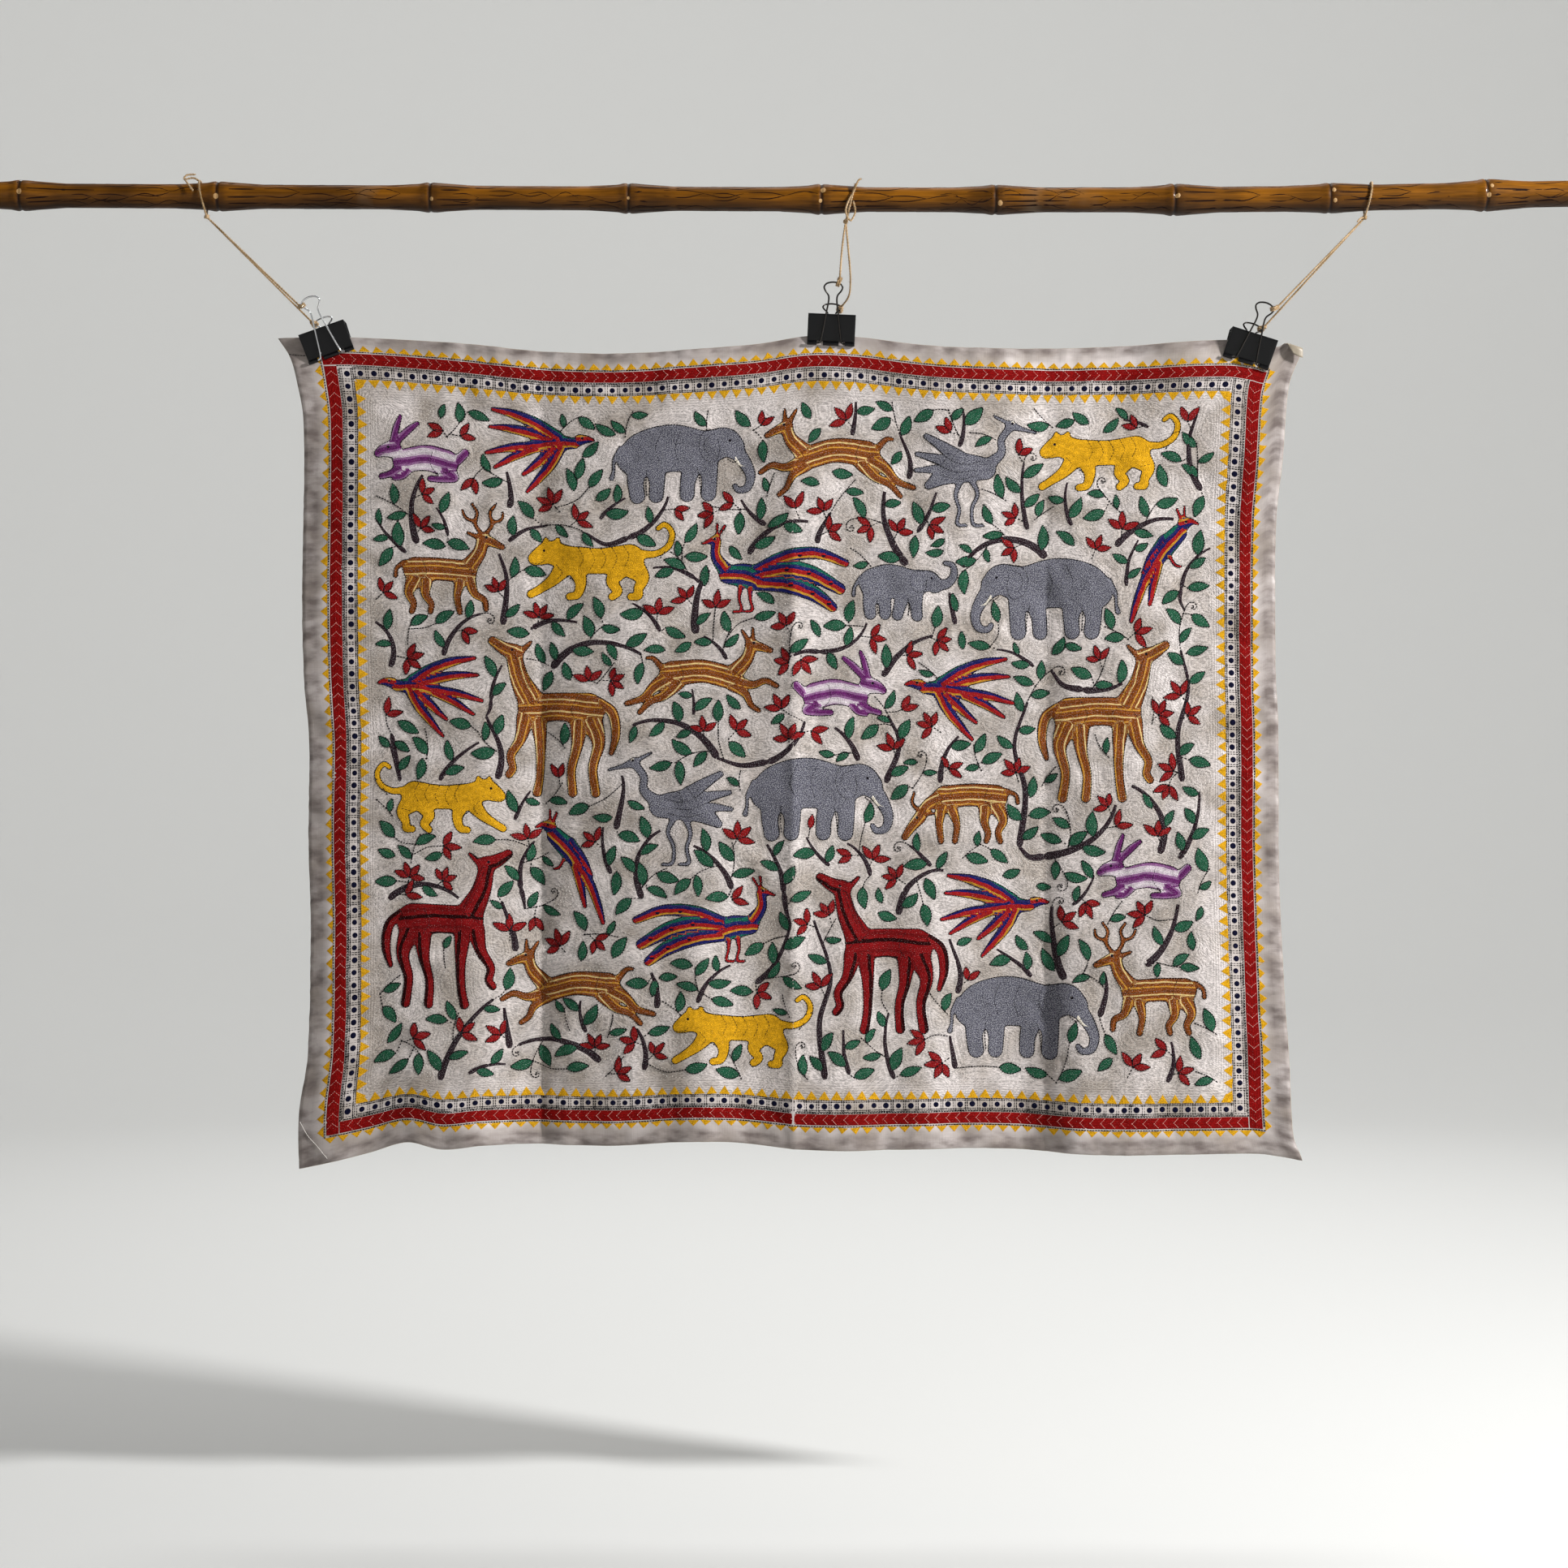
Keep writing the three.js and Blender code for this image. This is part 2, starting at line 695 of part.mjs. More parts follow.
const hanging = new THREE.Group();
hanging.add(named("cloth", clothGeometry(), material("#cfc8c0", 0.6, 0)));
hanging.add(named("bamboo_pole", poleGeometry(), material("#9a6528", 0.35, 0)));
for (const clip of CLIPS) {
  const group = new THREE.Group();
  group.applyMatrix4(clipMatrix(clip));
  group.add(named(`clip_${clip.name}`, clipGeometry(), material("#111113", 0.35, 0.2)));
  for (const side of ["front", "back"]) {
    const wire = tubeGeometry(handleCurve(side), WIRE_RADIUS, WIRE_SIDES, WIRE_STEPS);
    group.add(named(`clip_${clip.name}_handle_${side}`, wire, material("#c9ccd2", 0.15, 1)));
  }
  hanging.add(group);
}
for (const hanger of HANGERS) {
  hanging.add(
    named(`twine_${hanger.name}`, twineGeometry(hanger), material("#b08d57", 0.9, 0)),
  );
}

export default hanging;
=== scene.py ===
"""A kantha wall hanging: an embroidered quilted cloth, clipped and hung on jute twine from bamboo.

Flat places on the cloth are (across, down) in millimetres from its top left corner as seen from
the front. Tables are in millimetres too, and meshes are in metres, with the cloth facing -Y.
"""

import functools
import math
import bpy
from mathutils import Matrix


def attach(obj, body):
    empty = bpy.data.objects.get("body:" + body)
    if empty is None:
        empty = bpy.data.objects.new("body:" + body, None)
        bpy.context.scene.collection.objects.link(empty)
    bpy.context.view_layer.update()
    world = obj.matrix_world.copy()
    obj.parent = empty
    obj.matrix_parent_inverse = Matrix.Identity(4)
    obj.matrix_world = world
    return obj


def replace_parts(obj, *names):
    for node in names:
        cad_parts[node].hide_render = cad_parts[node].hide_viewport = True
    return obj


bl_info = {
    "name": "Kantha wall hanging",
    "version": (1, 0, 0),
    "blender": (4, 5, 0),
    "location": "3D View > Sidebar > Hanging",
    "description": "Builds an embroidered cloth that hangs by clips and twine from a bamboo pole",
    "category": "Add Mesh",
}

import bpy
import numpy as np
from bpy.props import FloatProperty, FloatVectorProperty, IntProperty, PointerProperty
from mathutils import Matrix, Vector

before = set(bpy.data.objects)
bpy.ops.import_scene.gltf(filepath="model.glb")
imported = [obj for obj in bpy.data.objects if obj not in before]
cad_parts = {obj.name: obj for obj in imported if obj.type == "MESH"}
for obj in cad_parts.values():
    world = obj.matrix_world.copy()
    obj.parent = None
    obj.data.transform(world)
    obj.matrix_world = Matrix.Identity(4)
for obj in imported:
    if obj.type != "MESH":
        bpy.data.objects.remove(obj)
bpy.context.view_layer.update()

MM = 0.001

# The flat cloth, and where its left and top edges would lie if it hung flat
CLOTH_WIDTH = 1050.0
CLOTH_HEIGHT = 866.0
CLOTH_THICKNESS = 1.2
CLOTH_LEFT = -516.0
CLOTH_TOP = -156.0

# How far from each edge its own unevenness is felt
SIDE_REACH = 90.0
TOP_REACH = 260.0
BOTTOM_REACH = 160.0

# The edges, as they depart from the flat rectangle: (down, right) or (across, up)
LEFT_EDGE = (
    (0, -27), (20, -14), (49, -6), (84, 0), (166, -2), (271, -4), (358, -2), (428, 4), (528, 4), (628, 7),
    (755, 3), (814, -7), (866, -7),
)
RIGHT_EDGE = (
    (0, 30), (21, 20), (52, 8), (126, 2), (199, -5), (345, -5), (421, -2), (562, -2), (694, 3), (764, 8),
    (840, 12), (866, 22),
)
TOP_EDGE = (
    (0, 6), (53, 7), (157, 1), (254, -8), (336, -11), (415, -7), (485, -1), (542, 8), (594, 7), (659, -1),
    (703, -4), (800, -4), (898, 0), (985, 4), (1010, 0), (1022, -4), (1032, 2), (1041, 12), (1050, 9),
)
BOTTOM_EDGE = (
    (0, -22), (24, -16), (74, -3), (114, 9), (151, 2), (192, 6), (330, 5), (434, 11), (546, 1), (720, 2),
    (857, -4), (1014, -4), (1050, -11),
)

# Pressed creases that run down the cloth: (across, back, reach, share of it at the top), and the
# sharp fold in the middle of each, as a share of its depth and its reach
CREASES = ((255.3, 10.0, 62.0, 0.35), (525.6, -11.0, 70.0, 0.45), (798.5, 7.0, 62.0, 0.5))
SHARP_FOLD = (0.45, 18.0)
# The one that runs across it: down, back, reach
CROSS_CREASE = (663.0, -2.5, 22.0)
# Slow swells: (waves across, waves down, turn, back)
SWELLS = ((1.3, 0.4, 0.6, 5.0), (2.2, -0.7, 2.1, 3.0), (0.6, 1.6, 4.4, 3.5), (3.4, 1.9, 1.2, 1.8))
# Flutes that grow towards the lower edge: (length, turn, back)
FLUTES = ((236.0, 0.5, 7.0), (131.0, 2.9, 3.5), (78.0, 1.7, 1.6))
FLUTE_POWER = 2.2
SIDE_CURL = 7.0
SIDE_CURL_REACH = 26.0
# Folds that fan out below a clip: back, folds, and where they are deepest
FAN = (3.2, 4.5, 95.0)
HOLD_NEAR = 58.0
HOLD_FAR = 150.0

# The top right corner flops forward and shows its back
FLAP_FROM = 1026.0
FLAP_FULL = 1044.0
FLAP_WIDTH = 17.0
FLAP_RADIUS = 3.2

# Clips: name, middle of the lips across and up, and the turn as seen from the front
CLIPS = (
    ("left", -485.1, -170.7, 19.5),
    ("middle", 50.1, -158.3, -2.5),
    ("right", 494.9, -177.5, -17.5),
)


def linear(code):
    """The linear colour of an sRGB hex value."""
    parts = [int(code[i : i + 2], 16) / 255.0 for i in (1, 3, 5)]
    return tuple(c / 12.92 if c <= 0.04045 else ((c + 0.055) / 1.055) ** 2.4 for c in parts)


def colour_property(name, description, code):
    return FloatVectorProperty(
        name=name, description=description, default=linear(code), subtype="COLOR", size=3, min=0, max=1
    )


def length_property(name, description, millimetres):
    return FloatProperty(
        name=name, description=description, default=millimetres * MM, min=0.0, unit="LENGTH", precision=5
    )


class ClothSettings(bpy.types.PropertyGroup):
    cell: length_property("Cell", "Width of a cell of the cloth's mesh", 4.42)
    pucker: length_property("Pucker", "Depth of the fine puckers that the quilting draws up", 0.6)
    silk: colour_property("Silk", "The cloth's front", "#C4B9B5")
    # The worn colour is mostly painted shade, the darker olive of the puckers in shade, with some dull wear
    worn: colour_property("Worn", "Where the silk is worn dull", "#A1968D")
    lining: colour_property("Back", "The cloth's back", "#8A7D68")
    # The stain colour is darker than the real stains, so that it also stands in for the margins' shade
    stain_and_shade: colour_property("Stain", "Faint stains in the plain margins", "#665A56")


class BorderSettings(bpy.types.PropertyGroup):
    pitch: length_property("Pitch", "Spacing of the triangles and squares", 13.2)
    chevrons: length_property("Chevrons", "Spacing of the chevrons in the red band", 11.0)


class FlossSettings(bpy.types.PropertyGroup):
    leaf: colour_property("Leaf", "Leaves", "#225A40")
    petal: colour_property("Petal", "Flowers", "#8E1618")
    branch: colour_property("Branch", "Stems and branches", "#26151D")
    grey: colour_property("Grey", "Elephants and cranes", "#525160")
    rust: colour_property("Rust", "Deer and horses", "#864511")
    yellow: colour_property("Yellow", "Tigers", "#DDA41C")
    purple: colour_property("Purple", "Hares", "#652463")
    red: colour_property("Red", "The red horses", "#801013")
    feather: colour_property("Feather", "The birds' blue rows", "#151A5C")
    triangle: colour_property("Triangle", "The border's triangles", "#DDA41C")
    band: colour_property("Band", "The border's red band", "#880C0B")
    navy: colour_property("Navy", "The dots in the border's squares", "#0D0F2B")


class ThreadSettings(bpy.types.PropertyGroup):
    seed: IntProperty(name="Seed", description="Start of the random draws", default=11)
    rows: length_property("Rows", "Spacing of the quilting rows", 2.9)
    indigo: colour_property("Outline", "Running stitches round the motifs", "#09070D")
    chevron: colour_property("Chevron", "The chevrons in the red band", "#E9A79C")
    white: colour_property("White", "The quilting thread", "#F3EEE6")


class PoleSettings(bpy.types.PropertyGroup):
    length: length_property("Length", "Length of the pole", 1780.0)
    cane: colour_property("Cane", "Varnished bamboo", "#87530C")
    burn: colour_property("Burn", "Burnt lines and node rings", "#1C0D05")


class ClipSettings(bpy.types.PropertyGroup):
    width: length_property("Width", "Width of a clip's lips", 51.0)
    enamel: colour_property("Enamel", "Paint on the folded steel", "#08080A")
    wire: length_property("Wire", "Thickness of a handle's wire", 1.9)


class TwineSettings(bpy.types.PropertyGroup):
    thickness: length_property("Thickness", "Thickness of the twine", 2.4)
    jute: colour_property("Jute", "Twisted jute", "#B48F58")
    seed: IntProperty(name="Seed", description="Start of the fibres' random draws", default=5)


class StageSettings(bpy.types.PropertyGroup):
    distance: length_property("Distance", "Camera to pole", 3200.0)
    floor: colour_property("Floor", "The studio's floor", "#D9D9D7")


def settings(name):
    return getattr(bpy.context.scene, name + "_settings")


def node(tree, kind, *values, **named):
    """Adds a node with its settings and links. A node or a socket as an input is linked.

    A kind without its family is a shader node's, and its operation may follow it. Values are its
    first inputs. Capitalised names are inputs too, with _ for a space or before an input's number,
    and the other names are settings.
    """
    kind, *operation = kind.split()
    new = tree.nodes.new(kind if "Node" in kind else "ShaderNode" + kind)
    if operation:
        new.operation = operation[0]
    inputs = dict(enumerate(values))
    for name, value in named.items():
        if name[0].islower():
            setattr(new, name, value)
        else:
            inputs[int(name[1:]) if name[0] == "_" else name.replace("_", " ")] = value
    for name, value in inputs.items():
        if isinstance(value, bpy.types.Node):
            value = next(socket for socket in value.outputs if socket.enabled)
        if isinstance(value, bpy.types.NodeSocket):
            tree.links.new(value, new.inputs[name])
        else:
            new.inputs[name].default_value = value
    return new


def smoothstep(low, high, at):
    t = np.clip((at - low) / (high - low), 0.0, 1.0)
    return t * t * (3.0 - 2.0 * t)


def through(rows, at):
    """A value read from a table of (place, value) rows by a smooth curve through them."""
    places, values = np.array(rows, dtype=float).T
    slopes = np.gradient(values, places)
    slopes[1:-1] = (values[2:] - values[:-2]) / (places[2:] - places[:-2])
    at = np.clip(at, places[0], places[-1])
    i = np.clip(np.searchsorted(places, at, side="right") - 1, 0, len(places) - 2)
    width = places[i + 1] - places[i]
    t = (at - places[i]) / width
    rise = t * t * (3.0 - 2.0 * t)
    value = values[i] * (1 - rise) + values[i + 1] * rise
    return value + slopes[i] * width * t * (1 - t) ** 2 - slopes[i + 1] * width * t * t * (1 - t)


def hills(x, y, seed):
    """Smooth random hills from -1 to 1, about one for each unit of x and y."""
    table = np.random.default_rng(seed).uniform(-1, 1, (64, 64))
    i, j = np.floor(x).astype(int), np.floor(y).astype(int)
    u, v = smoothstep(0, 1, x - i), smoothstep(0, 1, y - j)
    i0, i1, j0, j1 = i % 64, (i + 1) % 64, j % 64, (j + 1) % 64
    near = table[i0, j0] * (1 - u) + table[i1, j0] * u
    far = table[i0, j1] * (1 - u) + table[i1, j1] * u
    return near * (1 - v) + far * v


def cloth_freedom(x, z):
    """How far the clips let the cloth move, from 0 at their lips to 1 away from them."""
    near = np.min([np.hypot(x - cx, z - cz) for _, cx, cz, _ in CLIPS], axis=0)
    return smoothstep(HOLD_NEAR, HOLD_FAR, near)


def cloth_folds(across, down, x, z):
    """How far back the cloth lies, by the folds that its solid has too."""
    low = down / CLOTH_HEIGHT
    back = np.zeros_like(across)
    for place, depth, reach, at_top in CREASES:
        strength = at_top + (1 - at_top) * smoothstep(0, 0.6, low)
        far = np.abs(across - place)
        back += depth * strength * (np.exp(-far / reach) + SHARP_FOLD[0] * np.exp(-far / SHARP_FOLD[1]))
    back += CROSS_CREASE[1] * np.exp(-np.abs(down - CROSS_CREASE[0]) / CROSS_CREASE[2])
    for wide, high, turn, depth in SWELLS:
        waves = wide * across / CLOTH_WIDTH + high * low
        back += depth * np.sin(2 * np.pi * waves + turn)
    for length, turn, depth in FLUTES:
        back += depth * low**FLUTE_POWER * np.sin(2 * np.pi * across / length + turn)
    for side in (across, CLOTH_WIDTH - across):
        back += SIDE_CURL * np.exp(-side / SIDE_CURL_REACH)
    for _, cx, cz, clip_turn in CLIPS:
        far = np.hypot(x - cx, z - cz)
        angle = np.arctan2(x - cx, cz - z)
        strength = far / FAN[2] * np.exp(1 - far / FAN[2])
        back += FAN[0] * strength * np.cos(FAN[1] * angle + clip_turn)
    return back


def cloth_puckers(across, down):
    """The fine puckers, one unit deep at most: round the motifs, and square to each margin."""
    side = np.exp(-np.minimum(across, CLOTH_WIDTH - across) / 24.0)
    ends = np.exp(-np.minimum(down, CLOTH_HEIGHT - down) / 20.0)
    field = hills(across / 9.5, down / 9.5, 3) + 2.3 * hills(across / 25, down / 25, 4)
    field += 0.9 * hills((across + down) / 13.0, (across - down) / 55.0, 5)
    field += 1.1 * hills((across - down) / 24.0, (across + down) / 80.0, 8)
    return (
        field * (1 - 0.6 * side)
        + 2.4 * side * hills(across / 48, down / 6.5, 6)
        + 2.0 * ends * hills(across / 8, down / 42, 7)
    )


def cloth_places(across, down):
    """Where places of the flat cloth hang, as an array of x, y, z in millimetres."""
    flap = FLAP_WIDTH * smoothstep(FLAP_FROM, FLAP_FULL, across)
    past = np.maximum(flap - down, 0)
    hung = down + past
    left = through(LEFT_EDGE, hung) * np.exp(-across / SIDE_REACH)
    right = through(RIGHT_EDGE, hung) * np.exp((across - CLOTH_WIDTH) / SIDE_REACH)
    top = through(TOP_EDGE, across) * np.exp(-hung / TOP_REACH)
    bottom = through(BOTTOM_EDGE, across) * np.exp((hung - CLOTH_HEIGHT) / BOTTOM_REACH)
    x = CLOTH_LEFT + across + left + right
    z = CLOTH_TOP - hung + top + bottom
    freedom = cloth_freedom(x, z)
    pucker = settings("cloth").pucker / MM
    back = cloth_folds(across, hung, x, z) + pucker * cloth_puckers(across, hung)
    curl = np.minimum(past / FLAP_RADIUS, np.pi)
    hang = np.maximum(past - np.pi * FLAP_RADIUS, 0)
    y = back * freedom - FLAP_RADIUS * (1 - np.cos(curl))
    return np.stack([x, y, z + FLAP_RADIUS * np.sin(curl) - hang], axis=-1)


def even_lines(marks, cell):
    """Grid lines at every mark and about a cell apart between them."""
    lines = [np.linspace(a, b, max(2, math.ceil((b - a) / cell) + 1))[:-1] for a, b in zip(marks, marks[1:])]
    return np.append(np.concatenate(lines), marks[-1])


class Drape:
    """The hung cloth as a grid of places, on which everything sewn to it is laid."""

    def __init__(self):
        cell = settings("cloth").cell / MM
        middle = [crease[0] for crease in CREASES]
        self.columns = even_lines([0, *middle, FLAP_FROM, CLOTH_WIDTH], cell)
        below = even_lines([FLAP_WIDTH, CROSS_CREASE[0], CLOTH_HEIGHT], cell)
        self.rows = np.concatenate([np.linspace(0, FLAP_WIDTH, 12)[:-1], below])
        self.across, self.down = np.meshgrid(self.columns, self.rows)
        self.places = cloth_places(self.across, self.down)
        out = np.cross(np.gradient(self.places, axis=0), np.gradient(self.places, axis=1))
        self.out = out / np.linalg.norm(out, axis=-1, keepdims=True)
        self.freedom = cloth_freedom(self.places[..., 0], self.places[..., 2])

    def read(self, grid, flat):
        """A grid's values at flat places, on the flat triangle of the cloth that each lies in."""
        i = np.interp(flat[:, 0], self.columns, np.arange(len(self.columns)))
        j = np.interp(flat[:, 1], self.rows, np.arange(len(self.rows)))
        i0 = np.minimum(i.astype(int), len(self.columns) - 2)
        j0 = np.minimum(j.astype(int), len(self.rows) - 2)
        u, v = i - i0, j - j0
        if grid.ndim == 3:
            u, v = u[:, None], v[:, None]
        corner, far = grid[j0, i0], grid[j0 + 1, i0 + 1]
        low, right = grid[j0 + 1, i0], grid[j0, i0 + 1]
        lower = corner + v * (low - corner) + u * (far - low)
        upper = corner + u * (right - corner) + v * (far - right)
        return np.where(v >= u, lower, upper)

    def lay(self, flat, lift, side=1):
        """Places lifted off the cloth, less so between a clip's lips, and which way they face.

        The side is 1 for the cloth's front and -1 for its back.
        """
        out = self.read(self.out, flat) * side
        out /= np.linalg.norm(out, axis=1, keepdims=True)
        held = 0.3 + 0.7 * self.read(self.freedom, flat)
        lift = np.asarray(lift) * held + CLOTH_THICKNESS / 2
        return self.read(self.places, flat) + out * lift[:, None], out


@functools.cache
def drape():
    return Drape()


def smooth_path(rows, step, axes=2):
    """A centripetal Catmull-Rom curve through rows, whose first axes columns are the place."""
    rows = np.array(rows, dtype=float)
    padded = np.vstack([2 * rows[0] - rows[1], rows, 2 * rows[-1] - rows[-2]])
    pieces = []
    for a, b, c, d in zip(padded, padded[1:], padded[2:], padded[3:]):
        reach = [np.linalg.norm(q[:axes] - p[:axes]) for p, q in ((a, b), (b, c), (c, d))]
        before, here, after = np.maximum(np.sqrt(reach), 1e-3)
        start = here * ((b - a) / before - (c - a) / (before + here) + (c - b) / here)
        end = here * ((c - b) / here - (d - b) / (here + after) + (d - c) / after)
        count = max(1, int(round(reach[1] / step)))
        t = np.linspace(0, 1, count, endpoint=False)[:, None]
        rise = t * t * (3 - 2 * t)
        pieces.append(b * (1 - rise) + c * rise + start * t * (1 - t) ** 2 - end * t * t * (1 - t))
    return np.vstack([*pieces, rows[-1:]])


class Limb:
    """A stretch of an animal: a curved line with a thickness, read as (x, y, half thickness)."""

    def __init__(self, rows):
        self.samples = smooth_path(rows, 1.3)
        self.way = directions(self.samples[:, :2])

    def measure(self, flat):
        """How far places lie outside the limb, and how far to the side of its middle line."""
        reach = flat[:, None, :] - self.samples[None, :, :2]
        far = np.linalg.norm(reach, axis=2) - self.samples[None, :, 2]
        nearest = np.argmin(far, axis=1)
        each = np.arange(len(flat))
        way, side = self.way[nearest], reach[each, nearest]
        return far[each, nearest], way[:, 0] * side[:, 1] - way[:, 1] * side[:, 0]


JOIN = 2.6


def measure_body(limbs, flat):
    """How far places lie outside the joined limbs, and to the side of the nearest limb's line."""
    outside, across = limbs[0].measure(flat)
    nearest = outside
    for limb in limbs[1:]:
        far, side = limb.measure(flat)
        share = np.clip(0.5 + 0.5 * (far - outside) / JOIN, 0, 1)
        outside = far + (outside - far) * share - JOIN * share * (1 - share)
        across = np.where(far < nearest, side, across)
        nearest = np.minimum(nearest, far)
    return outside, across


def crossings(field, xs, ys, level):
    """Where grid lines cross a level: the places, and their numbers on the level and upright lines."""
    over = field > level
    places, numbers, count = [], [], 0
    for cut, low, high in (
        (over[:, :-1] != over[:, 1:], field[:, :-1], field[:, 1:]),
        (over[:-1] != over[1:], field[:-1], field[1:]),
    ):
        j, i = np.nonzero(cut)
        t = (level - low[j, i]) / (high[j, i] - low[j, i])
        level_part = not numbers
        x = xs[i] + (t * (xs[1] - xs[0]) if level_part else 0)
        y = ys[j] + (0 if level_part else t * (ys[1] - ys[0]))
        table = np.full(cut.shape, -1)
        table[j, i] = count + np.arange(len(j))
        numbers.append(table)
        places.append(np.column_stack([x, y]))
        count += len(j)
    return np.vstack(places), numbers


def level_line(field, xs, ys, level):
    """The line where a grid of values crosses a level, as places and pairs of them."""
    places, (flat_edges, high_edges) = crossings(field, xs, ys, level)
    ring = np.stack([flat_edges[:-1], high_edges[:, 1:], flat_edges[1:], high_edges[:, :-1]], axis=-1)
    count = (ring >= 0).sum(axis=-1)
    two, four = ring[count == 2], ring[count == 4]
    return places, np.vstack([two[two >= 0].reshape(-1, 2), four[:, :2], four[:, 2:]])


def filled(field, xs, ys):
    """A mesh of the area where a grid of values is below zero, cut along the line of zero."""
    inside = ~(field > 0)
    j, i = np.nonzero(inside)
    corner = np.full(field.shape, -1)
    corner[j, i] = np.arange(len(j))
    line, numbers = crossings(field, xs, ys, 0.0)
    places = np.vstack([np.column_stack([xs[i], ys[j]]), line])
    flat_edges, high_edges = (np.where(table < 0, -1, table + len(j)) for table in numbers)
    inner = [inside[:-1, :-1], inside[1:, :-1], inside[:-1, 1:], inside[1:, 1:]]
    whole = np.all(inner, axis=0)
    j, i = np.nonzero(whole)
    ring = [corner[j, i], corner[j + 1, i], corner[j + 1, i + 1], corner[j, i + 1]]
    faces = np.column_stack(ring).tolist()
    for j, i in zip(*np.nonzero(np.any(inner, axis=0) & ~whole)):
        ring = (
            corner[j, i], high_edges[j, i], corner[j + 1, i], flat_edges[j + 1, i],
            corner[j + 1, i + 1], high_edges[j, i + 1], corner[j, i + 1], flat_edges[j, i],
        )
        ring = [int(number) for number in ring if number >= 0]
        if len(ring) > 2:
            faces.append(ring)
    return places, faces


# The embroidered field: across and down of its edges, inside the inner triangles
FIELD = (72.0, 980.0, 62.0, 797.0)
ROOM_CELL = 2.0
ROOM_REACH = 44.0


def joined(parts):
    """Several parts as one, each its places and its faces or edges."""
    places, faces, count = [], [], 0
    for own, numbers in parts:
        places.append(own)
        faces += [[number + count for number in face] for face in numbers]
        count += len(own)
    return np.vstack(places), faces


class Patch(list):
    """Areas of one finish: each its flat places, its faces, and its places' sides and edges."""

    def whole(self):
        """The flat places, faces, sides and edges of all the areas."""
        flat, faces, across, edge = zip(*self)
        return *joined(zip(flat, faces)), np.concatenate(across), np.concatenate(edge)


class Design:
    """What is stitched on the cloth: filled areas, thread lines, and how far each place is free."""

    def __init__(self):
        self.patches = {}
        self.threads = {}
        self.stems = []
        self.xs = np.arange(0, CLOTH_WIDTH + ROOM_CELL, ROOM_CELL)
        self.ys = np.arange(0, CLOTH_HEIGHT + ROOM_CELL, ROOM_CELL)
        x, y = np.meshgrid(self.xs, self.ys)
        border = np.min([x - FIELD[0], FIELD[1] - x, y - FIELD[2], FIELD[3] - y], axis=0)
        self.room = np.minimum(border, ROOM_REACH)

    def patch(self, finish):
        return self.patches.setdefault(finish, Patch())

    def thread(self, finish, flat, closed=False):
        """Adds a line of stitches, as its places and the pairs that join them."""
        count = len(flat)
        pairs = np.column_stack([np.arange(count), np.arange(1, count + 1) % count])
        self.threads.setdefault(finish, []).append((flat, pairs if closed else pairs[:-1]))

    def take(self, limb):
        """Marks the places round a limb as taken."""
        low = limb.samples[:, :2].min(axis=0) - ROOM_REACH
        high = limb.samples[:, :2].max(axis=0) + ROOM_REACH
        i0, i1 = np.searchsorted(self.xs, (low[0], high[0]))
        j0, j1 = np.searchsorted(self.ys, (low[1], high[1]))
        x, y = np.meshgrid(self.xs[i0:i1], self.ys[j0:j1])
        far, _ = limb.measure(np.column_stack([x.ravel(), y.ravel()]))
        window = self.room[j0:j1, i0:i1]
        np.minimum(window, far.reshape(window.shape), out=window)

    def free(self, rows, gap):
        """Whether a limb of these rows keeps a gap to all that is taken."""
        x, y, half = smooth_path(rows, 3.0).T
        i = np.clip((x / ROOM_CELL).round().astype(int), 0, len(self.xs) - 1)
        j = np.clip((y / ROOM_CELL).round().astype(int), 0, len(self.ys) - 1)
        return bool(np.all(self.room[j, i] > half + gap))

    @functools.cached_property
    def echo(self):
        """How far each place is from a motif, smoothed, as the quilting rows run round them."""
        soft = self.room
        for _ in range(ECHO_PASSES):
            beside = [np.roll(soft, way, axis) for axis in (0, 1) for way in (-1, 1)]
            soft = (soft + sum(beside)) / 5
        return soft


def quads(rows, columns, closed=False, turned=False):
    """The faces of a grid of places, row after row, whose last column may join the first."""
    wide = columns if closed else columns + 1
    faces = []
    for r in range(0, rows * wide, wide):
        for c in range(columns):
            a, b = r + c, r + (c + 1) % wide
            faces.append([a, b, b + wide, a + wide] if turned else [a, a + wide, b + wide, b])
    return faces


def directions(line):
    """The unit direction of a line at each of its places."""
    way = np.gradient(line, axis=0)
    return way / np.maximum(np.linalg.norm(way, axis=1, keepdims=True), 1e-9)


def lengths(path):
    """How far along a path each of its places is."""
    return np.append(0, np.cumsum(np.linalg.norm(np.diff(path, axis=0), axis=1)))


def square_to(axis):
    return np.cross(axis, np.eye(3)[np.argmin(np.abs(axis))])


def frames(path):
    """A side and an up at each place of a path, carried along it without a twist."""
    way = directions(path)
    side = square_to(way[0])
    sides = []
    for along in way:
        side = side - along * np.dot(side, along)
        side /= np.linalg.norm(side)
        sides.append(side)
    return np.array(sides), np.cross(way, sides)


def ribbon(patch, middle, half, columns=4):
    """A band along a middle line, with its half width at each place of it."""
    way = directions(middle)
    side = np.column_stack([way[:, 1], -way[:, 0]])
    shares = np.linspace(-1, 1, columns + 1)
    across = half[:, None] * shares
    flat = middle[:, None, :] + side[:, None, :] * across[:, :, None]
    edge = half[:, None] * (1 - np.abs(shares))
    patch.append((flat.reshape(-1, 2), quads(len(middle) - 1, columns), across.ravel(), edge.ravel()))
    return flat[:, 0], flat[:, -1]


def heading(angle):
    """The flat direction of an angle in degrees, from the right and anticlockwise."""
    turn = math.radians(angle)
    return np.array([math.cos(turn), -math.sin(turn)])


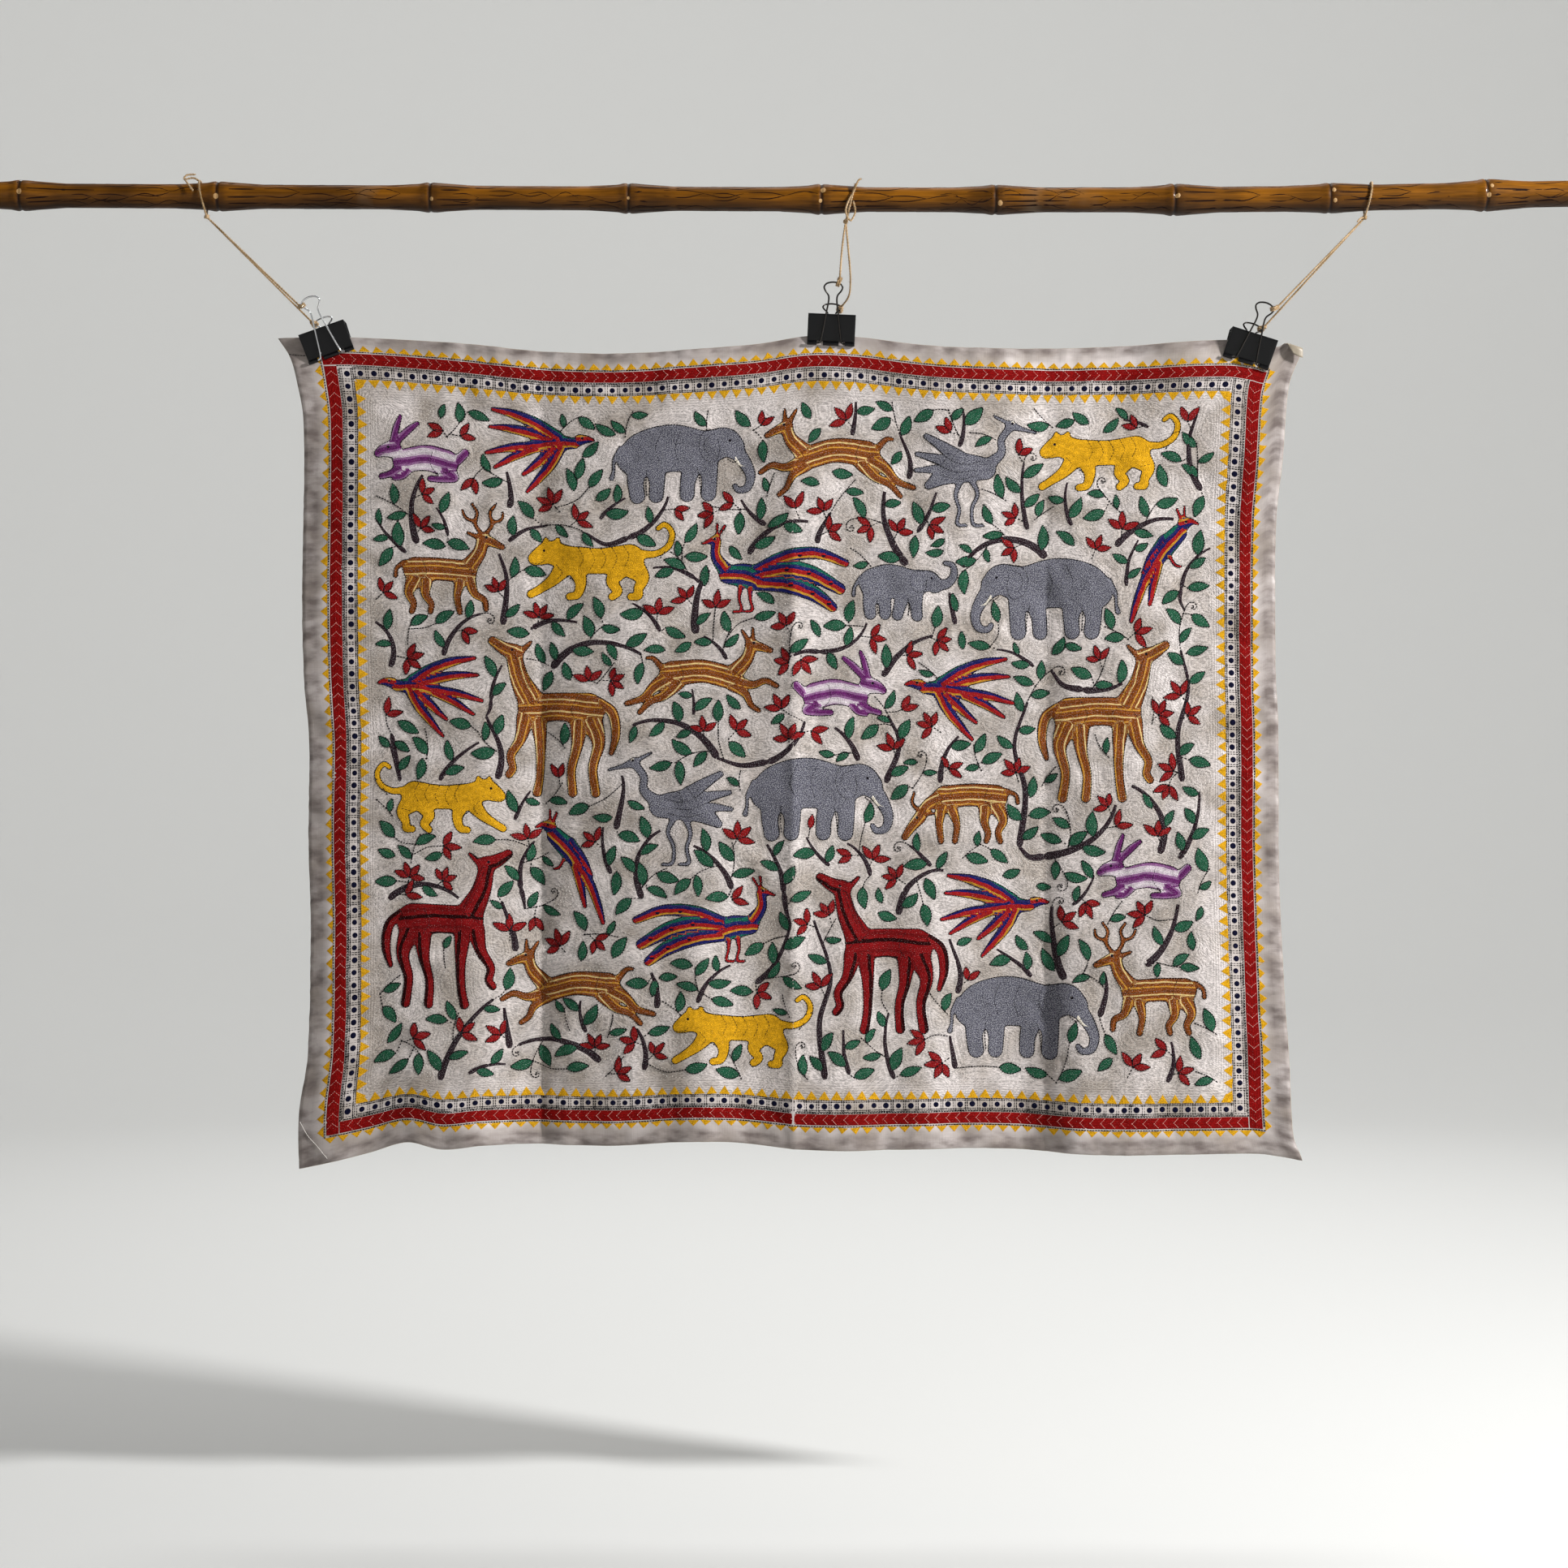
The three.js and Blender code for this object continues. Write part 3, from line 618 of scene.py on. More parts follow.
def blade(design, finish, base, angle, length, width, bend):
    """A leaf or petal with pointed ends, outlined, from its base along an angle."""
    way = heading(angle)
    side = np.array([-way[1], way[0]])
    t = np.linspace(0, 1, 11)
    middle = base + way * (length * t)[:, None] + side * (bend * np.sin(np.pi * t))[:, None]
    half = width / 2 * np.sin(np.pi * t**0.85) ** 0.85 + 0.15
    one, other = ribbon(design.patch(finish), middle, half)
    design.thread("indigo", np.vstack([one, other[::-1]]), closed=True)
    design.take(Limb(np.column_stack([middle, half * 0.9])[::2]))
    return middle


def blade_rows(base, angle, length, width):
    tip = base + heading(angle) * length
    return [(*base, 0.0), (*((base + tip) / 2), width / 2), (*tip, 0.0)]


def leaf(design, rng, base, angle, length):
    """A green leaf with its midrib, if there is room for it."""
    width = length * rng.uniform(0.4, 0.5)
    bend = length * rng.uniform(-0.09, 0.09)
    if not design.free(blade_rows(base + heading(angle) * 1.5, angle, length - 1.5, width), 1.2):
        return False
    middle = blade(design, "leaf", base, angle, length, width, bend)
    design.thread("rib", middle[1:-2])
    return True


def flower(design, rng, centre, angle, size):
    """Three or four red petals that spread from one place."""
    count = int(rng.integers(3, 5))
    spread = 62.0 if count == 3 else 52.0
    if not design.free([(*centre, 2.0), (*(centre + heading(angle) * size), 4.0)], 1.0):
        return False
    for k in range(count):
        turn = angle + (k - (count - 1) / 2) * spread + rng.uniform(-6, 6)
        start = centre + heading(turn)
        if design.free(blade_rows(start + heading(turn) * 5, turn, size - 5, size * 0.4), 0.5) or k == 1:
            blade(design, "petal", start, turn, size * rng.uniform(0.9, 1.1), size * 0.44, 0.0)
    return True


def stem(design, line, thick):
    """A stem or branch: a row of stitches, or where it is thick a tapered band of dark thread."""
    path = smooth_path(line, 4.0)
    half = np.linspace(0.78 * thick, max(0.3 * thick, 0.7), len(path))
    half[0] *= 0.55
    if thick < THINNEST_BRANCH:
        design.thread("indigo", path)
    else:
        ribbon(design.patch("branch"), path, half, columns=2)
    design.take(Limb(np.column_stack([path, half])))
    design.stems.append(path)


def tendril(design, base, angle, size, turn):
    """A thin stem that winds into a spiral."""
    t = np.linspace(0, 1, 46)
    bearing = np.radians(angle) + turn * 11.0 * t**1.5
    step = size * 0.085 * (1 - 0.86 * t)
    way = np.column_stack([np.cos(bearing), -np.sin(bearing)]) * step[:, None]
    line = base + np.cumsum(way, axis=0)
    rows = np.column_stack([line, np.full(len(line), 0.6)])
    if not design.free(rows[8:], 1.5):
        return False
    design.thread("indigo", line)
    design.take(Limb(rows[::3]))
    return True


def bearing_at(line, k=-1):
    """The direction of a line at one of its places, or at its end, in degrees."""
    k %= len(line)
    way = line[min(k + 1, len(line) - 1)] - line[max(k - 1, 0)]
    return math.degrees(math.atan2(-way[1], way[0]))


def foliage(design, rng, line, first, gap, thick):
    """Twigs, leaves and stalked flowers to each side of a stem, and how many found room."""
    side = 1 if rng.random() < 0.5 else -1
    count = 0
    for k in range(first, len(line) - 1, gap):
        root, bearing = line[k], bearing_at(line, k)
        angle = bearing + side * rng.uniform(36, 60)
        side = -side
        base = root + heading(angle) * thick * 0.4
        chance = rng.random()
        if thick > TWIG_FROM and chance < TWIG_SHARE:
            if sprig(design, rng, root + heading(angle) * 3, angle, rng.uniform(26, 44), 1.9, 2):
                count += 1
                continue
        if chance > 1 - FLOWER_SHARE:
            tip = base + heading(angle) * rng.uniform(7, 11)
            if flower(design, rng, tip, angle, rng.uniform(15, 18)):
                stem(design, [root, (root + tip) / 2, tip], 1.8)
                count += 1
                continue
        size = rng.uniform(19, 27)
        if leaf(design, rng, base, angle, size):
            count += 1
        elif leaf(design, rng, base, bearing - side * rng.uniform(25, 80), size * 0.75):
            count += 1
    return count


def crown(design, rng, line, side):
    """What tops a stem: a flower, a curl or a leaf, whichever has room."""
    bearing = bearing_at(line)
    choice = rng.random()
    if choice < 0.5 and flower(design, rng, line[-1], bearing, rng.uniform(16, 19)):
        return
    if choice < 0.64 and tendril(design, line[-1], bearing, rng.uniform(13, 18), side):
        return
    leaf(design, rng, line[-1], bearing, rng.uniform(19, 25))


def sprig(design, rng, start, angle, length, thick, least):
    """A stem with its leaves, where enough of them have room. Says whether it was made."""
    curve = rng.choice((-1, 1)) * rng.uniform(1.5, 5.0)
    place, bearing = np.array(start, dtype=float), angle
    line = [place]
    for _ in range(int(length / 4)):
        bearing += curve + rng.uniform(-3, 3)
        ahead = place + heading(bearing) * 4
        if not design.free([(*place, thick / 2), (*ahead, thick / 2)], 1.4) and len(line) > 1:
            break
        place = ahead
        line.append(place)
    if len(line) < 4:
        return False
    line = np.array(line)
    if foliage(design, rng, line, 1 if length < 46 else 2, int(rng.integers(4, 6)), thick) < least:
        return False
    stem(design, line, thick)
    crown(design, rng, line, 1 if curve > 0 else -1)
    return True


def twig_line(made, rng, place):
    """A free line from the nearest stem to a place, or None where no stem can be reached."""
    stems = np.vstack(made.stems)
    far = np.linalg.norm(stems - place, axis=1)
    for k in np.argsort(far)[:60:6]:
        root = stems[k]
        if far[k] > TWIG_REACH or far[k] < 6:
            continue
        way = (place - root) / far[k]
        bow = np.array([-way[1], way[0]]) * far[k] * rng.uniform(-0.22, 0.22)
        middle = (root + place) / 2 + bow
        if made.free([(*(root + way * 4), 0.5), (*middle, 0.5), (*place, 0.5)], 0.9):
            return smooth_path([root, middle, place], 4.0)
    return None


# Animals in their own millimetres, up from their feet and facing left. Each limb is a curved line
# of (right, up, half thickness). Lines are sewn over the filled shape, and spots are round marks
ELEPHANT = {
    "finish": "grey", "eye": (-50, 66),
    "tusk": ((-56, 46, 2.6), (-62, 37, 2), (-70, 33, 1)),
    "limbs": (
        ((-12, 56, 24), (20, 60, 28), (50, 56, 25), (62, 50, 20)),
        ((-28, 60, 19), (-44, 64, 17), (-54, 58, 13)),
        ((-58, 52, 9), (-68, 38, 7), (-74, 22, 5.4), (-70, 9, 4.4), (-60, 7, 3.4), (-56, 12, 2.8)),
        ((-24, 42, 12), (-26, 22, 9), (-25, 4, 8.6)), ((-6, 38, 11), (-1, 20, 8.6), (0, 4, 8.2)),
        ((56, 44, 14), (60, 22, 9.4), (58, 4, 8.6)), ((38, 40, 13), (35, 22, 9), (36, 4, 8.2)),
        ((78, 62, 2.6), (85, 48, 2), (86, 34, 1.7), (88, 26, 2.8)),
    ),
    "lines": (
        ((-34, 80), (-20, 78), (-14, 62), (-20, 46), (-32, 42), (-38, 54), (-36, 68)),
        ((-31, 74), (-23, 70), (-20, 60), (-25, 51)), ((-12, 34), (-15, 20), (-16, 6)),
        ((47, 34), (48, 20), (47, 6)), ((-62, 44), (-54, 40), (-48, 44)), ((8, 78), (14, 60), (10, 44)),
        ((30, 80), (37, 62), (33, 46)),
    ),
}
CALF = {
    "finish": "grey", "eye": (-33, 43),
    "limbs": (
        ((-10, 36, 15), (10, 38, 17), (26, 35, 15)), ((-20, 39, 12), (-31, 40, 10), (-36, 36, 8)),
        ((-39, 36, 5.6), (-49, 38, 4.6), (-56, 47, 3.6), (-54, 57, 2.8), (-47, 59, 2.2)),
        ((-16, 26, 8), (-17, 14, 6), (-18, 4, 5.6)), ((-3, 24, 7.6), (0, 12, 5.8), (2, 4, 5.4)),
        ((28, 26, 9), (31, 14, 6.4), (30, 4, 5.8)), ((17, 24, 8), (15, 12, 6), (15, 4, 5.4)),
        ((40, 40, 2), (46, 30, 1.5), (47, 22, 2)),
    ),
    "lines": (
        ((-24, 50), (-14, 48), (-11, 37), (-17, 28), (-26, 30), (-28, 40)), ((-9, 20), (-10, 12), (-9, 5)),
        ((23, 20), (23, 12), (22, 5)),
    ),
}
TIGER = {
    "finish": "yellow", "eye": (-60, 54),
    "limbs": (
        ((-30, 44, 15), (0, 43, 14), (32, 45, 16)),
        ((-40, 48, 13), (-54, 52, 12.5), (-64, 48, 9.5), (-70, 45, 7)), ((-46, 63, 3.6), (-45, 66, 2.6)),
        ((-58, 63, 3.4), (-58, 66, 2.4)), ((-38, 36, 10), (-50, 22, 6.4), (-64, 12, 4.6), (-74, 6, 4.2)),
        ((-24, 34, 9.4), (-20, 18, 6), (-24, 6, 4.6), (-32, 4, 4)),
        ((34, 38, 13), (46, 24, 7.4), (42, 12, 5), (42, 5, 4.6), (34, 4, 4)),
        ((22, 34, 10), (14, 20, 6.4), (20, 10, 4.8), (14, 4, 4.2)),
        ((46, 50, 4.4), (60, 50, 3.6), (74, 58, 3.4), (78, 72, 3.2), (70, 82, 2.8), (63, 78, 2.6)),
    ),
    "lines": (
        ((-22, 57), (-17, 46), (-20, 38)), ((-10, 56), (-5, 44), (-9, 35)), ((2, 56), (7, 45), (3, 36)),
        ((14, 57), (19, 46), (15, 36)), ((27, 58), (32, 48), (28, 38)), ((-46, 38), (-40, 30), (-44, 24)),
        ((-72, 40), (-64, 40), (-60, 43)), ((66, 46), (70, 52)), ((73, 62), (79, 64)), ((38, 26), (46, 28)),
        ((-34, 26), (-28, 22)),
    ),
}
LEAPING_DEER = {
    "finish": "rust", "eye": (-55, 80),
    "limbs": (
        ((-30, 42, 12), (0, 50, 12.5), (34, 48, 14)), ((-34, 48, 9.6), (-48, 64, 6.6), (-52, 76, 5.6)),
        ((-52, 78, 6.4), (-63, 75, 4.4), (-73, 71, 3)), ((-48, 84, 2.6), (-42, 94, 1.4)),
        ((-54, 85, 2.4), (-54, 96, 1.3)), ((-36, 38, 7), (-54, 34, 4.2), (-68, 38, 3.2), (-80, 32, 2.6)),
        ((-32, 34, 6.4), (-46, 24, 4), (-52, 12, 3), (-60, 6, 2.6)),
        ((36, 44, 11), (54, 34, 6), (66, 22, 3.8), (84, 16, 2.8)),
        ((30, 38, 9), (44, 24, 5.2), (58, 18, 3.6), (70, 6, 2.6)),
        ((46, 56, 3.4), (56, 66, 2.4), (62, 66, 1.6)),
    ),
    "lines": (
        ((-40, 44), (-30, 52), (-20, 50)), ((26, 58), (22, 46), (28, 36)),
        ((-72, 74), (-66, 73), (-62, 76)),
    ),
}
STAG = {
    "finish": "rust", "eye": (-48, 86),
    "limbs": (
        ((-26, 48, 12), (4, 50, 12), (28, 49, 13)), ((-30, 54, 9), (-41, 70, 6.8), (-44, 82, 6)),
        ((-45, 84, 6.4), (-56, 80, 4.4), (-65, 76, 3)), ((-38, 86, 2.4), (-28, 90, 1.4)),
        ((-42, 90, 2), (-36, 100, 1.8), (-38, 112, 1.6), (-32, 122, 1.2)),
        ((-36, 102, 1.6), (-26, 106, 1.5), (-22, 114, 1.1)),
        ((-48, 90, 2), (-54, 100, 1.8), (-52, 112, 1.6), (-58, 122, 1.2)),
        ((-54, 102, 1.6), (-64, 106, 1.5), (-66, 114, 1.1)),
        ((-30, 40, 6.6), (-36, 24, 4), (-46, 18, 3.2), (-48, 8, 2.8)),
        ((-20, 38, 6.2), (-17, 20, 3.6), (-20, 4, 3)),
        ((28, 40, 9.4), (35, 24, 4.8), (30, 12, 3.4), (32, 4, 3)),
        ((17, 38, 7.4), (17, 22, 4.2), (11, 12, 3.2), (12, 4, 2.8)),
        ((40, 56, 3), (48, 50, 2), (49, 42, 2.2)),
    ),
    "lines": (
        ((-34, 46), (-26, 54), (-16, 52)), ((20, 58), (16, 46), (22, 38)),
        ((-64, 79), (-58, 78), (-54, 81)),
    ),
}
GRAZER = {
    "finish": "rust", "eye": (-57, 29),
    "limbs": (
        ((-26, 52, 12), (4, 54, 12), (28, 52, 13)), ((-32, 50, 9), (-46, 42, 6), (-54, 30, 5)),
        ((-54, 29, 6.4), (-64, 17, 4.6), (-70, 8, 3.4)), ((-49, 33, 2.6), (-40, 34, 1.6)),
        ((-54, 36, 2.2), (-62, 45, 1.6), (-60, 56, 1.2)), ((-30, 42, 6.6), (-33, 24, 4), (-31, 4, 3)),
        ((-20, 40, 6.2), (-14, 22, 3.6), (-16, 4, 3)),
        ((28, 44, 9.4), (36, 26, 4.8), (31, 14, 3.4), (33, 4, 3)),
        ((17, 40, 7.4), (16, 24, 4.2), (20, 12, 3.2), (18, 4, 2.8)),
        ((40, 58, 3), (50, 54, 2), (52, 46, 2.2)),
    ),
    "lines": (((-36, 44), (-26, 50), (-16, 60)), ((20, 62), (16, 50), (22, 42))),
}
HORSE = {
    "finish": "rust", "eye": (-50, 159),
    "limbs": (
        ((-28, 96, 16), (2, 98, 15), (32, 95, 18)), ((-30, 104, 14), (-42, 128, 10), (-48, 152, 8)),
        ((-47, 156, 9), (-58, 160, 7), (-71, 168, 4.6)), ((-38, 160, 3), (-30, 168, 1.6)),
        ((-36, 86, 9.4), (-42, 62, 5.6), (-52, 44, 4.4), (-50, 30, 4), (-54, 24, 4)),
        ((-22, 84, 9), (-20, 50, 5.4), (-21, 22, 4.4), (-24, 5, 4.8)),
        ((34, 86, 13), (43, 60, 7), (37, 32, 4.8), (40, 5, 5)),
        ((22, 82, 10), (20, 56, 6), (14, 30, 4.6), (15, 5, 4.8)),
        ((46, 102, 5), (58, 92, 5.4), (62, 68, 4.6), (57, 48, 2.6)),
    ),
    "lines": (
        ((-31, 116), (-41, 138), (-47, 153)), ((-24, 112), (-36, 136), (-43, 152)),
        ((20, 108), (14, 94), (20, 82)), ((-40, 92), (-28, 104), (-14, 98)), ((-70, 164), (-62, 162)),
    ),
}
HARE = {
    "finish": "purple", "eye": (-37, 36),
    "limbs": (
        ((-20, 22, 12), (4, 26, 13.5), (24, 22, 14)), ((-32, 34, 9), (-42, 32, 6.4), (-48, 29, 4)),
        ((-28, 42, 3.4), (-16, 54, 3.6), (-6, 62, 2.2)), ((-32, 43, 3), (-28, 58, 3.2), (-24, 69, 1.8)),
        ((-24, 14, 5), (-34, 8, 3.4), (-44, 5, 3)), ((-16, 12, 4.6), (-22, 5, 3), (-30, 3.4, 2.6)),
        ((24, 14, 9), (34, 6, 4.4), (22, 4, 3.6), (8, 4, 3)), ((38, 26, 5), (45, 33, 4.4)),
    ),
    "lines": (((10, 32), (8, 20), (16, 10), (28, 12)), ((-48, 31), (-43, 30))),
}
CRANE = {
    "finish": "grey", "eye": (-42, 116),
    "limbs": (
        ((-12, 66, 12), (10, 66, 15), (32, 58, 10), (50, 46, 4)),
        ((-18, 72, 6.4), (-30, 84, 4.4), (-30, 98, 3.8), (-38, 110, 4)),
        ((-40, 114, 5.2), (-52, 110, 2.4), (-68, 106, 1.2)), ((-34, 118, 2), (-22, 124, 1.2)),
        ((4, 56, 3.4), (-4, 38, 2), (2, 22, 1.8), (0, 4, 1.8), (-10, 3, 1.5)),
        ((14, 54, 3.4), (20, 36, 2), (16, 20, 1.8), (18, 4, 1.8), (8, 3, 1.5)),
        ((10, 74, 8), (32, 88, 6), (52, 100, 3)), ((14, 70, 7), (40, 76, 5), (62, 80, 2.4)),
        ((18, 64, 6), (44, 64, 4.4), (64, 62, 2)),
    ),
    "lines": (
        ((-6, 74), (8, 70), (24, 74), (46, 92)), ((0, 64), (20, 62), (40, 70), (56, 76)),
        ((-4, 58), (16, 54), (36, 58)), ((8, 80), (12, 72)), ((18, 84), (24, 76)), ((28, 82), (32, 74)),
    ),
}
PEACOCK = {
    "finish": "feather", "eye": (-33, 84),
    "limbs": (
        ((-18, 44, 10), (2, 42, 13), (16, 36, 10)), ((-22, 50, 7.6), (-32, 66, 5.2), (-31, 80, 4.6)),
        ((-32, 83, 5.2), (-41, 81, 2), (-47, 79, 0.9)), ((-28, 88, 0.9), (-22, 98, 1.6)),
        ((-31, 89, 0.9), (-30, 100, 1.6)), ((12, 42, 9), (40, 46, 10), (72, 40, 9), (104, 24, 6)),
        ((14, 34, 8), (44, 30, 9), (76, 18, 8), (96, 4, 5)),
        ((12, 48, 6), (44, 60, 7), (80, 62, 6), (110, 52, 4)),
        ((-4, 32, 3), (-6, 18, 1.6), (-4, 4, 1.6), (-12, 3, 1.4)),
        ((6, 30, 3), (6, 16, 1.6), (8, 4, 1.6), (0, 3, 1.4)),
    ),
    "lines": (((-8, 52), (8, 50), (18, 42)), ((-10, 44), (6, 42), (14, 36)), ((-36, 84), (-32, 86))),
    "spots": ((46, 46), (70, 41), (94, 30), (50, 29), (74, 19), (92, 8), (60, 61), (86, 60)),
}
FLYING_BIRD = {
    "finish": "feather", "eye": (-39, 36),
    "limbs": (
        ((-30, 30, 6), (-8, 30, 9), (16, 26, 6.6)), ((-36, 34, 6), (-44, 35, 4), (-52, 34, 1.4)),
        ((14, 26, 5), (42, 22, 4.6), (70, 14, 2)), ((12, 24, 4.6), (38, 12, 4.4), (60, -2, 1.8)),
        ((-10, 36, 8), (12, 50, 7), (38, 60, 5), (62, 64, 2)),
        ((-6, 32, 7), (20, 40, 6), (48, 44, 4), (66, 44, 1.6)),
        ((-14, 26, 7), (-4, 6, 6), (12, -14, 4), (24, -28, 1.6)), ((-6, 24, 6), (10, 8, 5), (28, -8, 2)),
    ),
    "lines": (((-24, 37), (-20, 30), (-24, 24)), ((-12, 38), (-4, 30), (-12, 22))),
}
PERCHED_BIRD = {
    "finish": "feather", "eye": (-20, 78),
    "limbs": (
        ((-12, 66, 9), (2, 52, 10.5), (14, 36, 7)), ((-18, 76, 6.8), (-26, 78, 3), (-34, 75, 1)),
        ((-14, 82, 1.6), (-10, 92, 1.2)), ((-18, 83, 1.4), (-18, 94, 1.2)),
        ((12, 38, 6), (26, 14, 5), (36, -14, 3.6), (40, -28, 2)),
        ((10, 34, 4.6), (16, 10, 4), (20, -10, 2)), ((4, 58, 6.4), (18, 40, 4.6), (27, 24, 1.8)),
        ((-2, 42, 1.6), (-8, 32, 1.4), (-14, 30, 1.2)),
    ),
    "lines": (((-8, 64), (4, 58), (12, 46)), ((-20, 72), (-14, 68))),
}


# Where the animals stand in the field: kind, across and down of the middle of the feet, size,
# which way it faces (1 left, -1 right), and another finish where it isn't the kind's own
HERD = (
    (HARE, 128, 150, 1.0, 1), (FLYING_BIRD, 262, 128, 0.95, -1), (ELEPHANT, 412, 162, 0.92, -1),
    (LEAPING_DEER, 571, 170, 1.0, 1), (CRANE, 720, 196, 0.98, -1), (TIGER, 864, 156, 0.95, 1),
    (STAG, 148, 292, 1.0, -1), (TIGER, 318, 272, 1.0, 1), (PEACOCK, 474, 290, 0.98, 1),
    (CALF, 640, 296, 1.05, -1), (ELEPHANT, 792, 312, 0.95, 1), (PERCHED_BIRD, 930, 270, 1.0, -1),
    (FLYING_BIRD, 127, 396, 0.92, 1), (HORSE, 274, 486, 1.0, 1), (LEAPING_DEER, 430, 400, 0.98, -1),
    (HARE, 574, 402, 1.0, -1), (FLYING_BIRD, 696, 398, 0.95, 1), (HORSE, 856, 492, 1.0, -1),
    (TIGER, 147, 526, 0.9, -1), (CRANE, 396, 562, 1.0, 1), (ELEPHANT, 558, 530, 0.95, -1),
    (GRAZER, 716, 538, 1.0, 1), (HORSE, 148, 716, 1.0, -1, "red"), (PERCHED_BIRD, 282, 594, 1.0, 1),
    (LEAPING_DEER, 292, 738, 1.0, 1), (PEACOCK, 462, 668, 0.95, -1), (TIGER, 470, 780, 0.95, 1),
    (HORSE, 626, 742, 1.0, 1, "red"), (FLYING_BIRD, 752, 632, 0.95, -1), (ELEPHANT, 778, 764, 0.95, -1),
    (HARE, 905, 596, 1.0, 1), (STAG, 916, 742, 1.0, 1),
)
# Trunks that are worked before the small plants: (across, down) from the root up, and thickness
TRUNKS = (
    (((214, 300), (218, 250), (206, 205), (222, 165), (214, 118)), 5.0),
    (((214, 214), (238, 196), (262, 190)), 3.6), (((520, 175), (508, 130), (520, 98)), 4.0),
    (((640, 176), (652, 130), (640, 96)), 4.2), (((556, 300), (562, 252), (552, 215), (566, 186)), 4.6),
    (((700, 300), (694, 262), (706, 226)), 4.2), (((92, 420), (102, 470), (90, 430)), 3.6),
    (((205, 560), (200, 500), (212, 440), (196, 400)), 5.2),
    (((336, 520), (344, 470), (330, 430), (340, 404)), 5.0),
    (((630, 540), (624, 480), (640, 430), (628, 400)), 4.8),
    (((770, 540), (776, 480), (764, 430), (778, 384)), 5.0),
    (((945, 470), (940, 420), (952, 370), (944, 330)), 4.6),
    (((220, 760), (214, 700), (226, 650), (212, 600)), 5.2),
    (((372, 760), (380, 700), (366, 650), (374, 606)), 5.0),
    (((560, 790), (554, 730), (566, 680), (548, 620)), 4.8),
    (((700, 780), (694, 730), (706, 680), (694, 640)), 4.6),
    (((858, 790), (850, 740), (862, 690), (850, 640)), 4.8),
)
FILL_CELL = 2.15
FILL_TRIES = 300
FLOWER_SHARE = 0.24
SHORTEST_TRUNK = 9
# Stems thicker than this bear twigs, and a twig reaches this far for free room
TWIG_FROM = 2.6
THINNEST_BRANCH = 2.3
TWIG_SHARE = 0.3
TWIG_REACH = 60.0
# The least room, to the nearest motif, for a leaf, for a sprig of its own, and for a branch
SMALLEST_ROOM = 9.0
LONE_ROOM = 11.0
BRANCH_ROOM = 17.0
ECHO_PASSES = 6
# Round marks on the animals, by radius
SPOT = 3.4
EYE_WHITE = 2.5
PUPIL = 1.9


def on_cloth(rows, at, size, facing):
    """Rows of an animal's own (right, up, half thickness), laid at a place of the cloth."""
    rows = np.array(rows, dtype=float)
    rows[:, 0] = at[0] + rows[:, 0] * size * facing
    rows[:, 1] = at[1] - rows[:, 1] * size
    rows[:, 2:] *= size
    return rows


def animal(design, kind, at, size, facing, finish=None):
    """One animal: its filled shape, its outline, the lines sewn over it, and its eye."""
    here = functools.partial(on_cloth, at=at, size=size, facing=facing)
    limbs = [Limb(here(rows)) for rows in kind["limbs"]]
    places, half = np.split(np.vstack([limb.samples for limb in limbs]), [2], axis=1)
    (low_x, low_y), (high_x, high_y) = (places - half).min(axis=0) - 4, (places + half).max(axis=0) + 4
    xs, ys = np.arange(low_x, high_x, FILL_CELL), np.arange(low_y, high_y, FILL_CELL)
    x, y = np.meshgrid(xs, ys)
    outside, _ = measure_body(limbs, np.column_stack([x.ravel(), y.ravel()]))
    outside = outside.reshape(x.shape)
    flat, faces = filled(outside, xs, ys)
    far, across = measure_body(limbs, flat)
    design.patch(finish or kind["finish"]).append((flat, faces, across * facing, -far))
    design.threads.setdefault("outline", []).append(level_line(outside, xs, ys, 0.0))
    for limb in limbs:
        design.take(limb)
    for rows in kind["lines"]:
        design.thread("indigo", smooth_path(here(rows), 2.0))
    if "tusk" in kind:
        path = smooth_path(here(kind["tusk"]), 2.0)
        ribbon(design.patch("pale"), path[:, :2], path[:, 2], columns=2)
    for spot in kind.get("spots", ()):
        disc(design.patch("spot"), here([spot])[0], SPOT * size)
    eye = here([kind["eye"]])[0]
    disc(design.patch("pale"), eye, EYE_WHITE)
    disc(design.patch("pupil"), eye, PUPIL)


def disc(patch, centre, radius, sides=10):
    """A small round area of satin stitch."""
    turn = -2 * np.pi * np.arange(sides) / sides
    ring = np.column_stack([np.cos(turn), np.sin(turn)])
    flat = np.vstack([centre, centre + ring * radius * 0.6, centre + ring * radius])
    pairs = [(k, 1 + k % sides) for k in range(1, sides + 1)]
    faces = [[0, a, b] for a, b in pairs] + [[a, a + sides, b + sides, b] for a, b in pairs]
    edge = np.concatenate([[radius], np.full(sides, 0.4 * radius), np.zeros(sides)])
    patch.append((flat, faces, flat[:, 1] - centre[1], edge))


# The border, from the tips of its outer triangles in. Its width is drawn in a little at the ends
SIDE_MARGIN = (19.5, 18.5)
TOP_MARGIN = ((0, 8.5), (66, 8), (260, 11.5), (540, 11), (800, 15), (985, 18), (1050, 18))
BOTTOM_MARGIN = 18.0
OUTER_TRIANGLES = (0.0, 7.0)
OUTER_DASHES = 8.0
RED_BAND = (9.6, 22.4)
INNER_DASHES = 23.6
SQUARES = (25.0, 38.2)
INNER_TRIANGLES = (39.0, 48.8)
END_SHARE = 0.92
SQUARE_RAIL = 1.8


